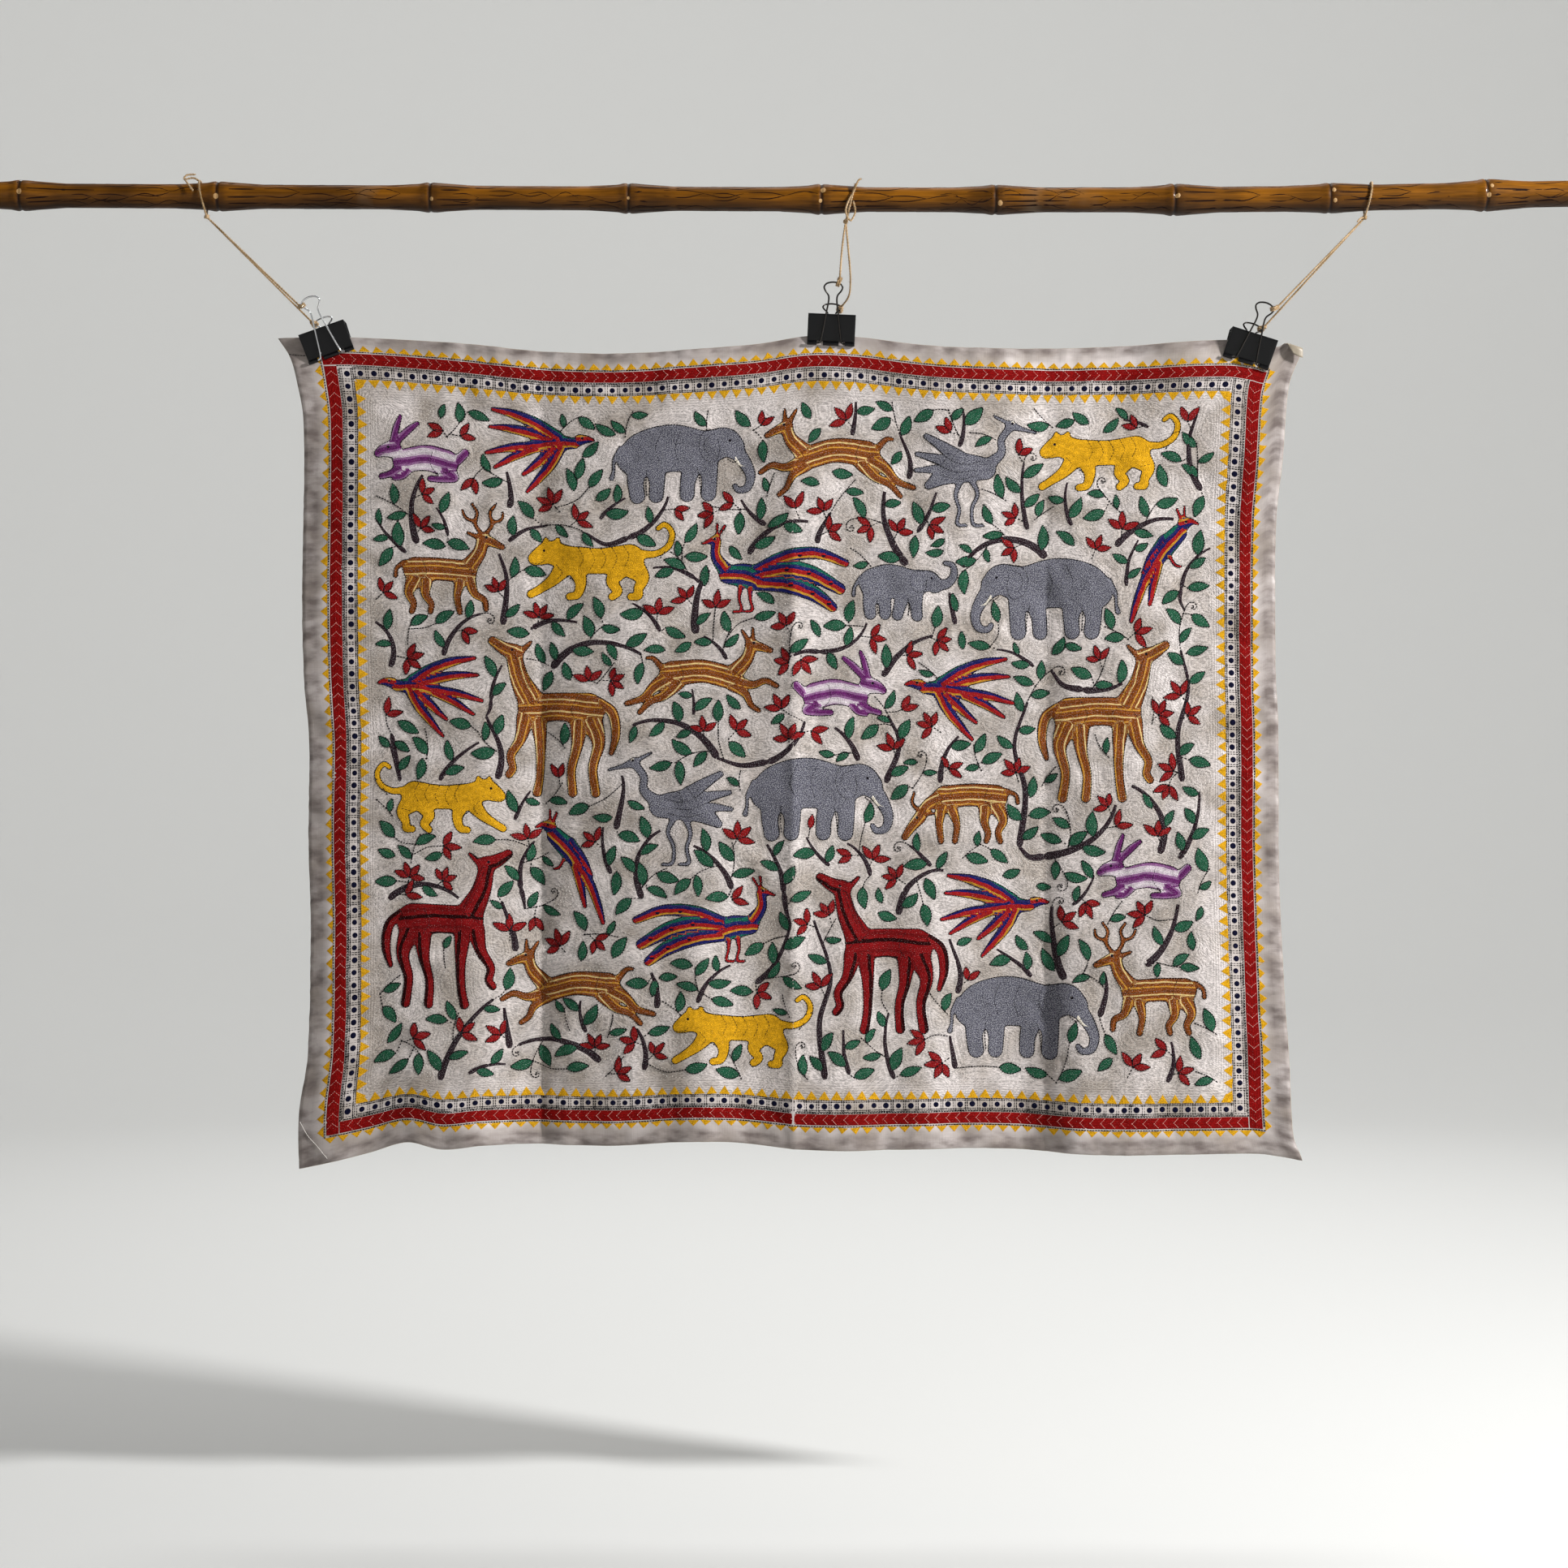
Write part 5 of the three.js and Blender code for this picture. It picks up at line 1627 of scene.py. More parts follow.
# The pole: (along, up, radius), its nodes as (along, swell), and a node's outline as (from, share)
POLE_LINE = (
    (-890, 3.6, 13.4), (-755, 3, 12.9), (-319, 0.9, 12.7), (65, -0.9, 13), (291, -1.3, 13.2),
    (509, -0.6, 13.6), (842, 5.2, 13.9), (890, 6, 14),
)
POLE_NODES = (
    (-818.8, 3.4), (-606.9, 3.2), (-379.3, 3.3), (-166.6, 3.5), (40.1, 3.4), (226.7, 3.0), (418.6, 3.8),
    (585.1, 2.6), (752.5, 3.6),
)
NODE_OUTLINE = ((-46, 0), (-12, 0.55), (-3, 1), (0, 0.66), (3, 0.95), (14, 0.7), (48, 0))
POLE_SIDES = 44
MEAN_RADIUS = 13.2
CANE_WALL = 4.0
CANE_HOLLOW = 22.0


def pole_radius(along):
    radius = through([(x, thick) for x, _, thick in POLE_LINE], along)
    for place, swell in POLE_NODES:
        radius = radius + swell * through(NODE_OUTLINE, along - place)
    return radius


def pole_up(along):
    return through([(x, up) for x, up, _ in POLE_LINE], along)


def on_pole(along, turn, lift=0.0):
    """Places on the pole's surface. The turn is 0 in front and grows upwards."""
    radius = pole_radius(along) + lift
    back, up = -radius * np.cos(turn), pole_up(along) + radius * np.sin(turn)
    return np.stack(np.broadcast_arrays(along, back, up), axis=-1)


def bamboo_material():
    """Old varnished cane: amber to brown along its fibres, dark round the nodes, worn grey in places, with
    painted shade on its underside and inside its hollow ends.
    """
    pole = settings("pole")
    made, add = material_tree("varnished_bamboo")
    where = add("TexCoord").outputs["Object"]
    burn_and_end_shade = add("Attribute", attribute_name="near_node")
    grain = add("VectorMath MULTIPLY", where, (0.05, 1.0, 1.0))
    fibre = add("TexNoise", grain, Scale=420.0, Detail=3.0)
    patch = add("MapRange", add("TexNoise", where, Scale=11.0, Detail=3.0), 0.35, 0.65)
    worn = add("TexNoise", where, Scale=5.3, Detail=4.0, Roughness=0.6)
    dark, light = shaded(pole.cane, -0.62), shaded(pole.cane)
    cane = add("Mix", patch, _6=dark, _7=light, data_type="RGBA")
    streak = add("MapRange", fibre, 0.3, 0.7, 0.6, 1.2)
    # Painted shade: the colour darkens towards the underside, where less light falls
    painted_underside_shade = add("MapRange", add("Attribute", attribute_name="facing_up"), -0.85, 0.05, 0.22, 1.0)
    streak = add("Math MULTIPLY", streak, painted_underside_shade)
    cane = add("VectorMath SCALE", cane, Scale=streak)
    rubbed = add("MapRange", worn, 0.6, 0.72, _4=0.35)
    cane = add("Mix", rubbed, _6=cane, _7=shaded(linear("#857763")), data_type="RGBA")
    # Burnt rings at the nodes, and painted shade inside the hollow ends, both in the burn colour
    cane = add("Mix", burn_and_end_shade, _6=cane, _7=shaded(pole.burn), data_type="RGBA")
    bump = add("Bump", Height=fibre, Distance=0.3 * MM, Strength=0.5)
    surfaced(
        add, Base_Color=cane, Normal=bump, Roughness=0.5, Specular_IOR_Level=0.1, Coat_Weight=0.12,
        Coat_Roughness=0.1
    )
    return made


def pole_stations():
    """Where the pole's rings stand: fine at the nodes, even between them."""
    half = settings("pole").length / MM / 2
    places = [np.linspace(-half, half, 150)]
    places += [along + np.linspace(-13, 13, 25) for along, _ in POLE_NODES]
    return np.unique(np.concatenate(places).round(2))


def make_pole():
    """The bamboo pole, closed at both ends by its cut wall and a partition a little way in."""
    stations = pole_stations()
    turn = 2 * np.pi * np.arange(POLE_SIDES) / POLE_SIDES
    rings = [on_pole(stations[:, None], turn[None, :]).reshape(-1, 3)]
    near = np.zeros(len(stations))
    for along, _ in POLE_NODES:
        for burnt, place, reach in ((0.9, along, 1.6), (0.35, along + 5, 4)):
            near += burnt * np.exp(-(((stations - place) / reach) ** 2))
    dark = [np.repeat(np.minimum(near, 1), POLE_SIDES)]
    count = len(stations)
    faces = quads(count - 1, POLE_SIDES, closed=True, turned=True)
    total = count * POLE_SIDES
    for end, way in ((0, 1), (count - 1, -1)):
        along, deep = stations[end], stations[end] + way * CANE_HOLLOW
        last = end * POLE_SIDES
        caps = []
        # The cut wall is darkened a little, and the partition deep in the hollow strongly: painted shade
        # inside the hollow end
        for place, lift, shade in ((along, -CANE_WALL, 0.2), (deep, -CANE_WALL - 0.4, 0.75)):
            rings.append(on_pole(np.full(POLE_SIDES, place), turn, lift))
            dark.append(np.full(POLE_SIDES, shade))
            for k in range(POLE_SIDES):
                after = (k + 1) % POLE_SIDES
                caps.append([last + k, total + k, total + after, last + after])
            last = total
            total += POLE_SIDES
        # The partition's middle, darkened too as painted shade
        rings.append([(deep, 0, pole_up(deep))])
        dark.append([0.8])
        caps += [[last + k, total, last + (k + 1) % POLE_SIDES] for k in range(POLE_SIDES)]
        faces += [face[::way] for face in caps]
        total += 1
    places = np.vstack(rings)
    made = new_object("pole_varnished", places, faces, bamboo_material())
    attribute(made.data, "near_node", np.concatenate(dark))
    along = places[:, 0]
    attribute(made.data, "facing_up", (places[:, 2] - pole_up(along)) / pole_radius(along))
    return [fitted(made, "bamboo_pole")]


# Half widths of the burnt lines: the ticks beside a node, the flames, and the wisps beyond them
TICK_HALF = 1.1
FLAME_HALF = 0.8
WISP_HALF = 0.75
BURNT_SEED = 7


def burnt_lines(rng):
    """The flame drawing on the pole, as lines of (along, round) in millimetres on its surface."""
    lines = []
    ends = [POLE_LINE[0][0], *[along for along, _ in POLE_NODES], POLE_LINE[-1][0]]
    for left, right in zip(ends, ends[1:]):
        for arc in range(-38, 39, 7):
            arc += rng.uniform(-2, 2)
            along = left + rng.uniform(5, 14)
            reach = rng.uniform(16, 80) if rng.random() < 0.75 else 8
            lines.append(([(along, arc), (along + reach, arc + rng.uniform(-1.5, 1.5))], TICK_HALF))
        for row in range(-2, 3):
            along = left + rng.uniform(20, 60)
            while along < right - 30:
                arc = row * 16 + rng.uniform(-4, 4)
                long, tall = rng.uniform(20, 44), rng.uniform(3.5, 7)
                tip = (along + long, arc)
                for way in (-1, 1):
                    bend = (along + long * 0.55, arc + way * tall * rng.uniform(0.75, 1.0))
                    lines.append(([(along, arc + way * tall * 0.7), bend, tip], FLAME_HALF))
                if rng.random() < 0.55:
                    far = (tip[0] + long * 0.5, arc + rng.choice((-1, 1)) * tall)
                    lines.append(([tip, far, (tip[0] + long, arc)], WISP_HALF))
                along += long * rng.uniform(0.8, 1.7)
    return lines


def make_burns():
    """Thin dark lines burnt into the cane with a hot wire, and the pale scars at the nodes."""
    rng = np.random.default_rng(BURNT_SEED)
    patch = Patch()
    for rows, half in burnt_lines(rng):
        path = smooth_path(rows, 5.0)
        share = np.linspace(0, 1, len(path))
        ribbon(patch, path, half * np.sin(np.pi * (0.06 + 0.88 * share)) ** 0.7, columns=2)
    flat, faces, _, edge = patch.whole()
    pole = settings("pole")
    inside = pole.length / MM / 2 - 0.5
    along = np.clip(flat[:, 0], -inside, inside)
    places = on_pole(along, flat[:, 1] / MEAN_RADIUS, np.where(edge > 0.02, 0.12, -0.06))
    material, add = material_tree("burnt_cane")
    surfaced(add, Base_Color=shaded(pole.burn), Roughness=0.8, Specular_IOR_Level=0.1)
    burnt = new_object("pole_burnt_lines", places, faces, material)
    scars = Patch()
    for along, _ in POLE_NODES:
        for turn in rng.uniform(-0.5, 0.5, 1 + int(rng.random() < 0.4)):
            centre = np.array([along + rng.uniform(-1, 5), turn * MEAN_RADIUS])
            disc(scars, centre, rng.uniform(1.6, 3.0), sides=12)
    flat, faces, _, edge = scars.whole()
    places = on_pole(flat[:, 0], flat[:, 1] / MEAN_RADIUS, np.minimum(edge * 0.3, 0.35) - 0.06)
    material, add = material_tree("bud_scar")
    surfaced(add, Base_Color=shaded(linear("#A98453")), Roughness=0.6)
    scars = new_object("pole_bud_scars", places, faces, material)
    return [fitted(burnt), fitted(scars)]


# The clips' folded steel in section, and their notches for the handles' feet
CLIP_HEIGHT = 33.0
CLIP_SPINE = 24.0
CLIP_SHEET = 0.8
CLIP_EDGE = 0.16
PIVOT = (-3.05, 2.15)
CURL_MIDDLE = 1.75
CURL_SWEEP = math.radians(262)
SHOULDER_ROUND = 1.6
NOTCH_AT = 11.8
NOTCH_WIDTH = 6.8
NOTCH_HEIGHT = 4.8
BACK_LEAN = math.radians(40)
HANDLE_HALF = (
    (19.5, 0), (14.6, 0), (12, 0.8), (11, 3.2), (6.3, 33), (4.3, 48), (5, 52), (8.6, 57), (9.8, 60.6),
    (7.6, 64), (0, 66),
)
SHOULDER = (-(CLIP_SPINE - CLIP_SHEET) / 2, CLIP_HEIGHT - CLIP_SHEET / 2)
JAW_LEAN = math.atan2(PIVOT[0] - SHOULDER[0], SHOULDER[1] - PIVOT[1]) + math.asin(
    CURL_MIDDLE / math.hypot(PIVOT[0] - SHOULDER[0], SHOULDER[1] - PIVOT[1])
)


def clip_matrix(across, up, turn):
    """From a clip's own frame, the middle of its lips, to the part's, in millimetres."""
    return np.array(Matrix.Translation((across, 0, up)) @ Matrix.Rotation(math.radians(-turn), 4, "Y"))


def moved(matrix, places):
    places = np.asarray(places, dtype=float)
    return places @ matrix[:3, :3].T + matrix[:3, 3]


def clip_section():
    """The middle line of the folded steel as (y, z), from one curl's free end to the other's."""
    angles = JAW_LEAN - CURL_SWEEP * np.linspace(1, 0, 19)
    front = [(PIVOT[0] + CURL_MIDDLE * math.cos(a), PIVOT[1] + CURL_MIDDLE * math.sin(a)) for a in angles]
    corner = np.array(SHOULDER)
    foot = corner + SHOULDER_ROUND * np.array((math.sin(JAW_LEAN), -math.cos(JAW_LEAN)))
    start = np.array(front[-1])
    way = foot - start
    notch = (NOTCH_HEIGHT - start[1]) / way[1]
    front += [tuple(start + way * share) for share in (notch, 0.3, 0.5, 0.7, 0.9)]
    top = corner + (SHOULDER_ROUND, 0)
    for t in np.linspace(0, 1, 7):
        front.append(tuple((1 - t) ** 2 * foot + 2 * t * (1 - t) * corner + t * t * top))
    front += [(y, SHOULDER[1]) for y in (-7.0, -3.5)]
    rear = [(-y, z) for y, z in reversed(front)]
    return np.array([*front, (0.0, SHOULDER[1]), *rear])


def enamel_material():
    """Black enamel on spring steel: glossy, with the slight ripple of dipped paint."""
    made, add = material_tree("black_enamelled_steel")
    where = add("TexCoord").outputs["Object"]
    bump = add("Bump", Height=add("TexNoise", where, Scale=420.0), Distance=0.12 * MM, Strength=0.5)
    surfaced(
        add, Base_Color=shaded(settings("clip").enamel), Normal=bump, Roughness=0.3,
        Specular_IOR_Level=0.22, Coat_Weight=0.12, Coat_Roughness=0.08
    )
    return made


def make_clips():
    """The clips' bodies: one sheet of steel folded to a prism, its lips rolled round the handles."""
    section = clip_section()
    half = settings("clip").width / MM / 2
    marks = [-half, -NOTCH_AT - NOTCH_WIDTH / 2, -NOTCH_AT + NOTCH_WIDTH / 2]
    marks += [-mark for mark in reversed(marks)]
    columns = even_lines(marks, 3.4)
    middles = (columns[1:] + columns[:-1]) / 2
    open_column = np.abs(np.abs(middles) - NOTCH_AT) < NOTCH_WIDTH / 2
    heights = (section[1:, 1] + section[:-1, 1]) / 2
    notched = (heights < NOTCH_HEIGHT)[:, None] & open_column
    sheet = quads(*notched.shape, turned=True)
    faces = [face for face, cut_out in zip(sheet, notched.ravel()) if not cut_out]
    places = np.array([[(x, y, z) for x in columns] for y, z in section]).reshape(-1, 3)
    material = enamel_material()
    pieces = []
    for name, *hold in CLIPS:
        made = new_object(f"clip_{name}_folded", moved(clip_matrix(*hold), places), faces, material)
        wall = made.modifiers.new("steel", "SOLIDIFY")
        wall.thickness = CLIP_SHEET * MM
        wall.offset = 0.0
        wall.use_even_offset = True
        edge = made.modifiers.new("edge", "BEVEL")
        edge.width = CLIP_EDGE * MM
        edge.segments = 2
        edge.limit_method = "ANGLE"
        edge.angle_limit = math.radians(55)
        pieces.append(fitted(made, f"clip_{name}"))
    return pieces


def sweep(path, radii, sides):
    """Places and faces of a round bar along a path, closed at both ends."""
    side, up = frames(path)
    angles = 2 * np.pi * np.arange(sides)[:, None] / sides
    round_it = np.cos(angles) * side[:, None] + np.sin(angles) * up[:, None]
    places = path[:, None] + radii[:, None, None] * round_it
    faces = quads(len(path) - 1, sides, closed=True, turned=True)
    tail = len(path) * sides
    last = tail - sides
    for k in range(sides):
        after = (k + 1) % sides
        faces += [[tail, after, k], [tail + 1, last + k, last + after]]
    return np.vstack([places.reshape(-1, 3), path[0], path[-1]]), faces


def rounded_ends(path, radius):
    """Radii along a path that round its two ends over one radius."""
    along = lengths(path)
    t = np.clip(np.minimum(along, along[-1] - along) / radius, 0, 1)
    return radius * np.sqrt(np.clip(1 - (1 - t) ** 2, 0.04, 1))


def handle_path(side, step=0.8):
    """The middle line of a handle in its clip's own frame."""
    lean, forward = (JAW_LEAN, -1) if side == "front" else (BACK_LEAN, 1)
    rows = [(-across, up) for across, up in HANDLE_HALF] + list(reversed(HANDLE_HALF[:-1]))
    out, rise = math.sin(lean), math.cos(lean)
    places = [(across, forward * (-PIVOT[0] + up * out), PIVOT[1] + up * rise) for across, up in rows]
    return smooth_path(places, step, axes=3)


def wire_material(name, code, roughness):
    """Nickel-plated spring wire, bright or dark."""
    made, add = material_tree(name)
    where = add("TexCoord").outputs["Object"]
    rough = add("MapRange", add("TexNoise", where, Scale=260.0), _3=roughness * 0.6, _4=roughness * 1.6)
    surfaced(add, Base_Color=shaded(linear(code)), Metallic=1.0, Roughness=rough)
    return made


def make_handles():
    """The sprung wire handles, bright on the left clip and darker on the others."""
    bright = wire_material("bright_nickel_wire", "#D9DADC", 0.1)
    dark = wire_material("darkened_nickel_wire", "#3F3C3A", 0.16)
    radius = settings("clip").wire / MM / 2
    pieces = []
    for name, *hold in CLIPS:
        for side in ("front", "back"):
            path = handle_path(side)
            places, faces = sweep(path, rounded_ends(path, radius), 12)
            places = moved(clip_matrix(*hold), places)
            wire = bright if name == "left" else dark
            made = new_object(f"handle_{name}_{side}", places, faces, wire)
            pieces.append(fitted(made, f"clip_{name}_handle_{side}"))
    return pieces


# The twine hangers, along the routes of the part's solids: name, where the loop goes over the pole,
# the knot, the strands as (side, share of the wire where it is tied, places on the way), loose ends
KNOT_RADIUS = 2.7
TIE_RADIUS = 2.95
TIE_OPENING = 0.55
KNOT_SEAT = 0.55
WOUND_TURNS = 2.6
WOUND_RADIUS = 1.7
WOUND_HALF = 1.5
POLE_CLEARANCE = 0.6
HANGERS = (
    (
        "left", -627.0, (-619.5, -3, -20), (("front", 0.42, ()), ("back", 0.42, ())),
        (
            ((-627, -3, 18), (-633, -6, 21), (-643, -7, 19.5), (-641, -5, 24), (-631, -3, 25.5)),
            ((-642, -7, 19.5), (-638, -13.5, 14), (-631, -18.2, 5)),
        ),
    ),
    (
        "middle", 77.0, (66, -13, -27),
        (("front", 0.53, ((62, -20, -57),)), ("back", 0.6, ((69, -10, -58), (71.5, 8, -86), (70, 22, -101)))),
        (
            ((74.3, -15.3, 4), (77, -14.5, 11), (80, -9, 18), (83, -4, 20.5)),
            (
                (74.3, -15.3, 4), (68, -18, -8), (66, -18.8, -18), (71, -19, -27), (76, -18.6, -18),
                (74, -18, -6),
            ),
        ),
    ),
    (
        "right", 630.5, (623, -3, -21), (("front", 0.56, ()), ("back", 0.57, ())),
        (((623, -3, -21), (618, -7, -22.5), (614, -8, -27)),),
    ),
)


def pole_loop(loop_top, knot):
    """The loop over the pole, from the knot up behind, over the top and down to the knot."""
    thickest = max(pole_radius(x) for x in (loop_top, knot[0]))
    radius = thickest + settings("twine").thickness / MM / 2 + POLE_CLEARANCE
    middle = pole_up(loop_top)
    rows = [knot]
    for angle in np.radians(-35 + 250 * np.arange(13) / 12):
        z = middle + radius * math.sin(angle)
        share = (z - knot[2]) / (middle + radius - knot[2])
        rows.append((knot[0] + (loop_top - knot[0]) * share, radius * math.cos(angle), z))
    return [*rows, knot]


def tie(matrix, side, share, last):
    """A turn of twine round a handle's wire: its path, and where its knot sits."""
    path = moved(matrix, handle_path(side, 0.5))
    reach = lengths(path)
    k = int(np.searchsorted(reach, share * reach[-1]))
    centre = path[k]
    way = path[k + 1] - path[k - 1]
    way /= np.linalg.norm(way)
    toward = np.array(last) - centre
    out = toward - way * np.dot(toward, way)
    out /= np.linalg.norm(out)
    across = np.cross(way, out)
    knot = centre + out * (TIE_RADIUS + KNOT_RADIUS * KNOT_SEAT)
    rows = [knot]
    for slide in (-1.1, 1.1):
        for angle in np.linspace(TIE_OPENING, 2 * math.pi - TIE_OPENING, 9):
            u, v = TIE_RADIUS * math.cos(angle), TIE_RADIUS * math.sin(angle)
            rows.append(centre + out * u + across * v + way * slide)
    return [*rows, knot], knot, out


def wound_knot(centre, axis):
    """Three close turns of twine across an axis, which is what a small overhand knot shows."""
    axis = np.asarray(axis, dtype=float) / np.linalg.norm(axis)
    side = square_to(axis)
    side /= np.linalg.norm(side)
    up = np.cross(axis, side)
    turn = np.linspace(0, WOUND_TURNS * 2 * math.pi, 40)[:, None]
    slide = np.linspace(-WOUND_HALF, WOUND_HALF, 40)[:, None]
    return np.asarray(centre) + WOUND_RADIUS * (np.cos(turn) * side + np.sin(turn) * up) + slide * axis


TWIST_PITCH = 6.4
PLY_SHARE = 0.57
PLY_SIDES = 8
# The loose fibres: how many to a square metre, and their size
FIBRES = {"Density": 200000.0, "Length": 2.6 * MM, "Thickness": 0.09 * MM}


def plied(path, radius):
    """Two plies twisted round each other along a path, as places and faces of each."""
    path = smooth_path(path, 1.15, axes=3)
    side, up = frames(path)
    turn = 2 * np.pi * lengths(path) / TWIST_PITCH
    made = []
    for start in (0.0, math.pi):
        angle = (turn + start)[:, None]
        offset = radius * (1 - PLY_SHARE) * (np.cos(angle) * side + np.sin(angle) * up)
        made.append(sweep(path + offset, rounded_ends(path, radius * PLY_SHARE), PLY_SIDES))
    return made


def jute_material():
    """Natural jute: dry, straw to light brown, paler on the fibres that stand out."""
    made, add = material_tree("jute_twine")
    jute = settings("twine").jute
    where = add("TexCoord").outputs["Object"]
    fibre = add("TexNoise", where, Scale=900.0, Detail=3.0)
    tint = add("TexNoise", where, Scale=70.0, Detail=2.0)
    share = add("MapRange", add("Math MULTIPLY", fibre, tint), 0.16, 0.36)
    dark, light = shaded(jute, -0.5), shaded(jute, 0.12)
    tint = add("Mix", share, _6=dark, _7=light, data_type="RGBA")
    bump = add("Bump", Height=fibre, Distance=0.3 * MM, Strength=0.8)
    surfaced(add, Base_Color=tint, Normal=bump, Roughness=0.85, Specular_IOR_Level=0.2, Sheen_Weight=0.3)
    return made


def fibre_tree():
    """Geometry nodes that set short loose fibres over a twine, bent away from it at random."""

    def build(add, entry):
        points = add(
            "GeometryNodeDistributePointsOnFaces", Mesh=entry["Geometry"], Density=entry["Density"],
            Seed=entry["Seed"]
        )
        hair = add("GeometryNodeMeshCone", Vertices=3, Radius_Top=0.15, Radius_Bottom=0.5, Depth=1.0)
        sizes = ("Thickness", "Thickness", "Length")
        least, most = (0.8, 0.8, 0.4), (1.2, 1.2, 1.5)
        turn = points.outputs["Rotation"]
        return points, hair, turn, (1.2, 1.2, 3.1), sizes, least, most, entry["Geometry"]

    return set_on("loose_fibres", ("Density", "Length", "Thickness"), build)


def make_twine():
    """The three hangers of two-ply jute, with their ties, knots, loose ends and fibres."""
    twine = settings("twine")
    radius = twine.thickness / MM / 2
    material = jute_material()
    tree = fibre_tree()
    pieces = []
    for (name, loop_top, knot, strands, ends), clip in zip(HANGERS, CLIPS):
        matrix = clip_matrix(*clip[1:])
        paths = [pole_loop(loop_top, knot), wound_knot(knot, (0.15, 0.1, 1.0))]
        for side, share, via in strands:
            last = via[-1] if via else knot
            around, seat, out = tie(matrix, side, share, last)
            paths += [around, [knot, *via, seat], wound_knot(seat, out)]
        places, faces = joined(ply for path in (*paths, *ends) for ply in plied(path, radius))
        made = new_object(f"twine_{name}_jute", places, faces, material)
        grown(made, tree, {**FIBRES, "Seed": twine.seed, "Material": material})
        pieces.append(fitted(made, f"twine_{name}"))
    return pieces


# The stage: a pale round floor that rises to a wall far behind and round the part
FLOOR_BELOW = 1.42
BOWL_FLAT = 4.0
BOWL_RISE = 3.0
BOWL_HEIGHT = 6.0
PHOTO_MIDDLE = 0.6287
LENS = 68.4
FLOOR_SIDES = 72
SKY_STRENGTH = 0.11
# Lights: name, place, what it points at, width in metres and power in watts
LIGHTS = (
    ("key_light", (3.1, -1.6, 1.2), (0.0, 0.0, -0.55), 0.4, 225.0),
    ("fill_light", (-1.8, -3.2, -0.2), (0.0, 0.0, -0.6), 2.4, 8.0),
    ("back_light", (0.4, 3.0, 1.6), (0.0, 0.0, -0.5), 2.4, 26.0),
    ("wall_light", (0.0, 1.6, 3.4), (0.0, 6.5, -0.6), 3.0, 140.0),
)


def make_stage():
    """The studio's floor, its soft lights and the camera at the photograph's place."""
    stage = settings("stage")
    scene = bpy.context.scene
    eye = bpy.data.cameras.new("camera")
    eye.lens = LENS
    eye.sensor_width = 36.0
    camera = linked("camera", eye)
    camera.location = (0.0, -stage.distance, -PHOTO_MIDDLE)
    camera.rotation_euler = (math.radians(90), 0.0, 0.0)
    scene.camera = camera
    scene.view_settings.view_transform = "Standard"
    profile = [(0.0, 0.0), (BOWL_FLAT * 0.5, 0.0)]
    for t in np.linspace(0, math.pi / 2, 17):
        profile.append((BOWL_FLAT + BOWL_RISE * math.sin(t), BOWL_RISE * (1 - math.cos(t))))
    profile.append((BOWL_FLAT + BOWL_RISE, BOWL_HEIGHT))
    places = []
    for radius, height in profile:
        for turn in 2 * np.pi * np.arange(FLOOR_SIDES) / FLOOR_SIDES:
            places.append((radius * math.cos(turn), radius * math.sin(turn), height - FLOOR_BELOW))
    faces = quads(len(profile) - 1, FLOOR_SIDES, closed=True)
    faces[:FLOOR_SIDES] = [face[1:] for face in faces[:FLOOR_SIDES]]
    material, add = material_tree("studio_paper")
    surfaced(add, Base_Color=shaded(stage.floor), Roughness=0.9, Specular_IOR_Level=0.1)
    floor = new_object("studio_floor", np.array(places) / MM, faces, material)
    world = bpy.data.worlds.new("studio")
    world.use_nodes = True
    sky = world.node_tree.nodes["Background"].inputs
    sky["Color"].default_value = (1.0, 1.0, 1.0, 1.0)
    sky["Strength"].default_value = SKY_STRENGTH
    scene.world = world
    lamps = []
    for name, place, aim, size, power in LIGHTS:
        lamp = bpy.data.lights.new(name, "AREA")
        lamp.shape = "DISK"
        lamp.size = size
        lamp.energy = power
        made = linked(name, lamp)
        made.location = place
        made.rotation_euler = (Vector(aim) - Vector(place)).to_track_quat("-Z", "Y").to_euler()
        lamps.append(made)
    return [floor, camera, *lamps]


def needed(pieces):
    """Stops with a plain message where a piece that should be there isn't."""
    missing = [piece for piece in pieces if piece.name not in bpy.context.scene.objects]
    if missing or not pieces:
        raise RuntimeError(f"these pieces weren't made: {missing}")
    return {"FINISHED"}


class HANGING_OT_stage(bpy.types.Operator):
    """Sets up the camera, the pale floor and the soft lights"""

    bl_idname = "hanging.stage"
    bl_label = "Stage"

    def execute(self, context):
        return needed(make_stage())


class HANGING_OT_cloth(bpy.types.Operator):
    """Hangs the plain quilted cloth from its clips"""

    bl_idname = "hanging.cloth"
    bl_label = "Cloth"

    def execute(self, context):
        return needed(make_cloth())


class HANGING_OT_floss(bpy.types.Operator):
    """Fills the animals, leaves, flowers and border shapes with floss"""

    bl_idname = "hanging.floss"
    bl_label = "Filled shapes"

    def execute(self, context):
        return needed(make_floss())


class HANGING_OT_threads(bpy.types.Operator):
    """Sews the running stitches round the motifs and along the border"""

    bl_idname = "hanging.threads"
    bl_label = "Outline stitches"

    def execute(self, context):
        return needed(make_threads())


class HANGING_OT_quilting(bpy.types.Operator):
    """Sews the white rows over the ground"""

    bl_idname = "hanging.quilting"
    bl_label = "Quilting"

    def execute(self, context):
        return needed(make_quilting())


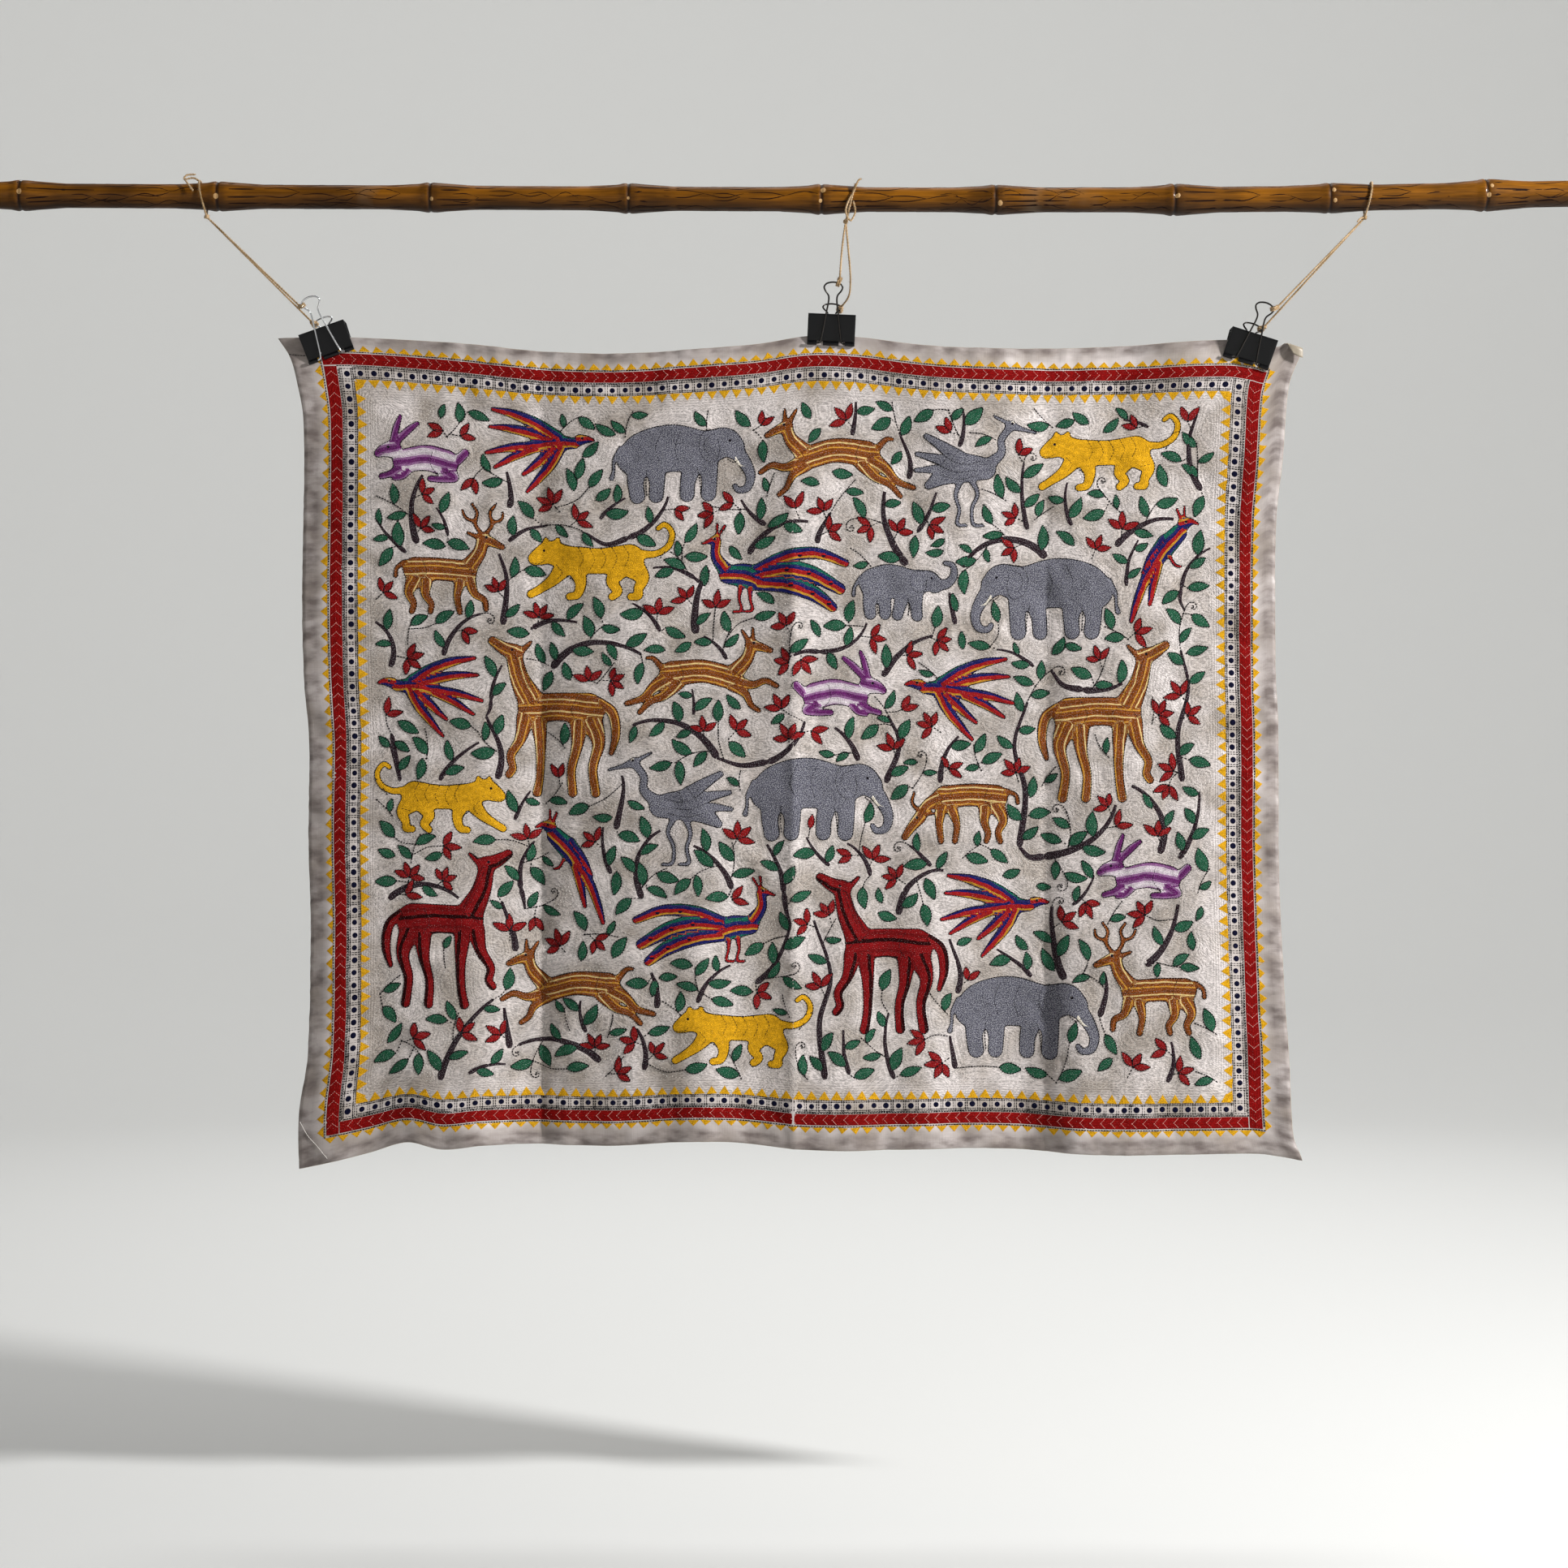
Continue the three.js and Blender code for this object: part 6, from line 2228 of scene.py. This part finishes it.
class HANGING_OT_pole(bpy.types.Operator):
    """Makes the varnished bamboo pole with its burnt lines"""

    bl_idname = "hanging.pole"
    bl_label = "Pole"

    def execute(self, context):
        return needed(make_pole() + make_burns())


class HANGING_OT_clips(bpy.types.Operator):
    """Folds the three black clips"""

    bl_idname = "hanging.clips"
    bl_label = "Clips"

    def execute(self, context):
        return needed(make_clips())


class HANGING_OT_handles(bpy.types.Operator):
    """Bends the clips' wire handles"""

    bl_idname = "hanging.handles"
    bl_label = "Handles"

    def execute(self, context):
        return needed(make_handles())


class HANGING_OT_twine(bpy.types.Operator):
    """Ties the jute hangers between the pole and the handles"""

    bl_idname = "hanging.twine"
    bl_label = "Twine"

    def execute(self, context):
        return needed(make_twine())


OPERATORS = (
    HANGING_OT_stage, HANGING_OT_cloth, HANGING_OT_floss, HANGING_OT_threads, HANGING_OT_quilting,
    HANGING_OT_pole, HANGING_OT_clips, HANGING_OT_handles, HANGING_OT_twine,
)
GROUPS = {
    "cloth": ClothSettings, "border": BorderSettings, "floss": FlossSettings, "thread": ThreadSettings,
    "pole": PoleSettings, "clip": ClipSettings, "twine": TwineSettings, "stage": StageSettings,
}


class HANGING_PT_panel(bpy.types.Panel):
    """Lists the pieces and their settings in the sidebar"""

    bl_idname = "HANGING_PT_panel"
    bl_label = "Wall hanging"
    bl_space_type = "VIEW_3D"
    bl_region_type = "UI"
    bl_category = "Hanging"

    def draw(self, context):
        for name, group in GROUPS.items():
            box = self.layout.box()
            for key in group.__annotations__:
                box.prop(settings(name), key)
        for operator in OPERATORS:
            self.layout.operator(operator.bl_idname)


CLASSES = (*GROUPS.values(), *OPERATORS, HANGING_PT_panel)


def register():
    for cls in CLASSES:
        bpy.utils.register_class(cls)
    for name, group in GROUPS.items():
        setattr(bpy.types.Scene, name + "_settings", PointerProperty(type=group))


def unregister():
    for name in GROUPS:
        delattr(bpy.types.Scene, name + "_settings")
    for cls in reversed(CLASSES):
        bpy.utils.unregister_class(cls)


def main():
    register()
    for operator in OPERATORS:
        group, name = operator.bl_idname.split(".")
        getattr(getattr(bpy.ops, group), name)()


if __name__ == "__main__":
    main()
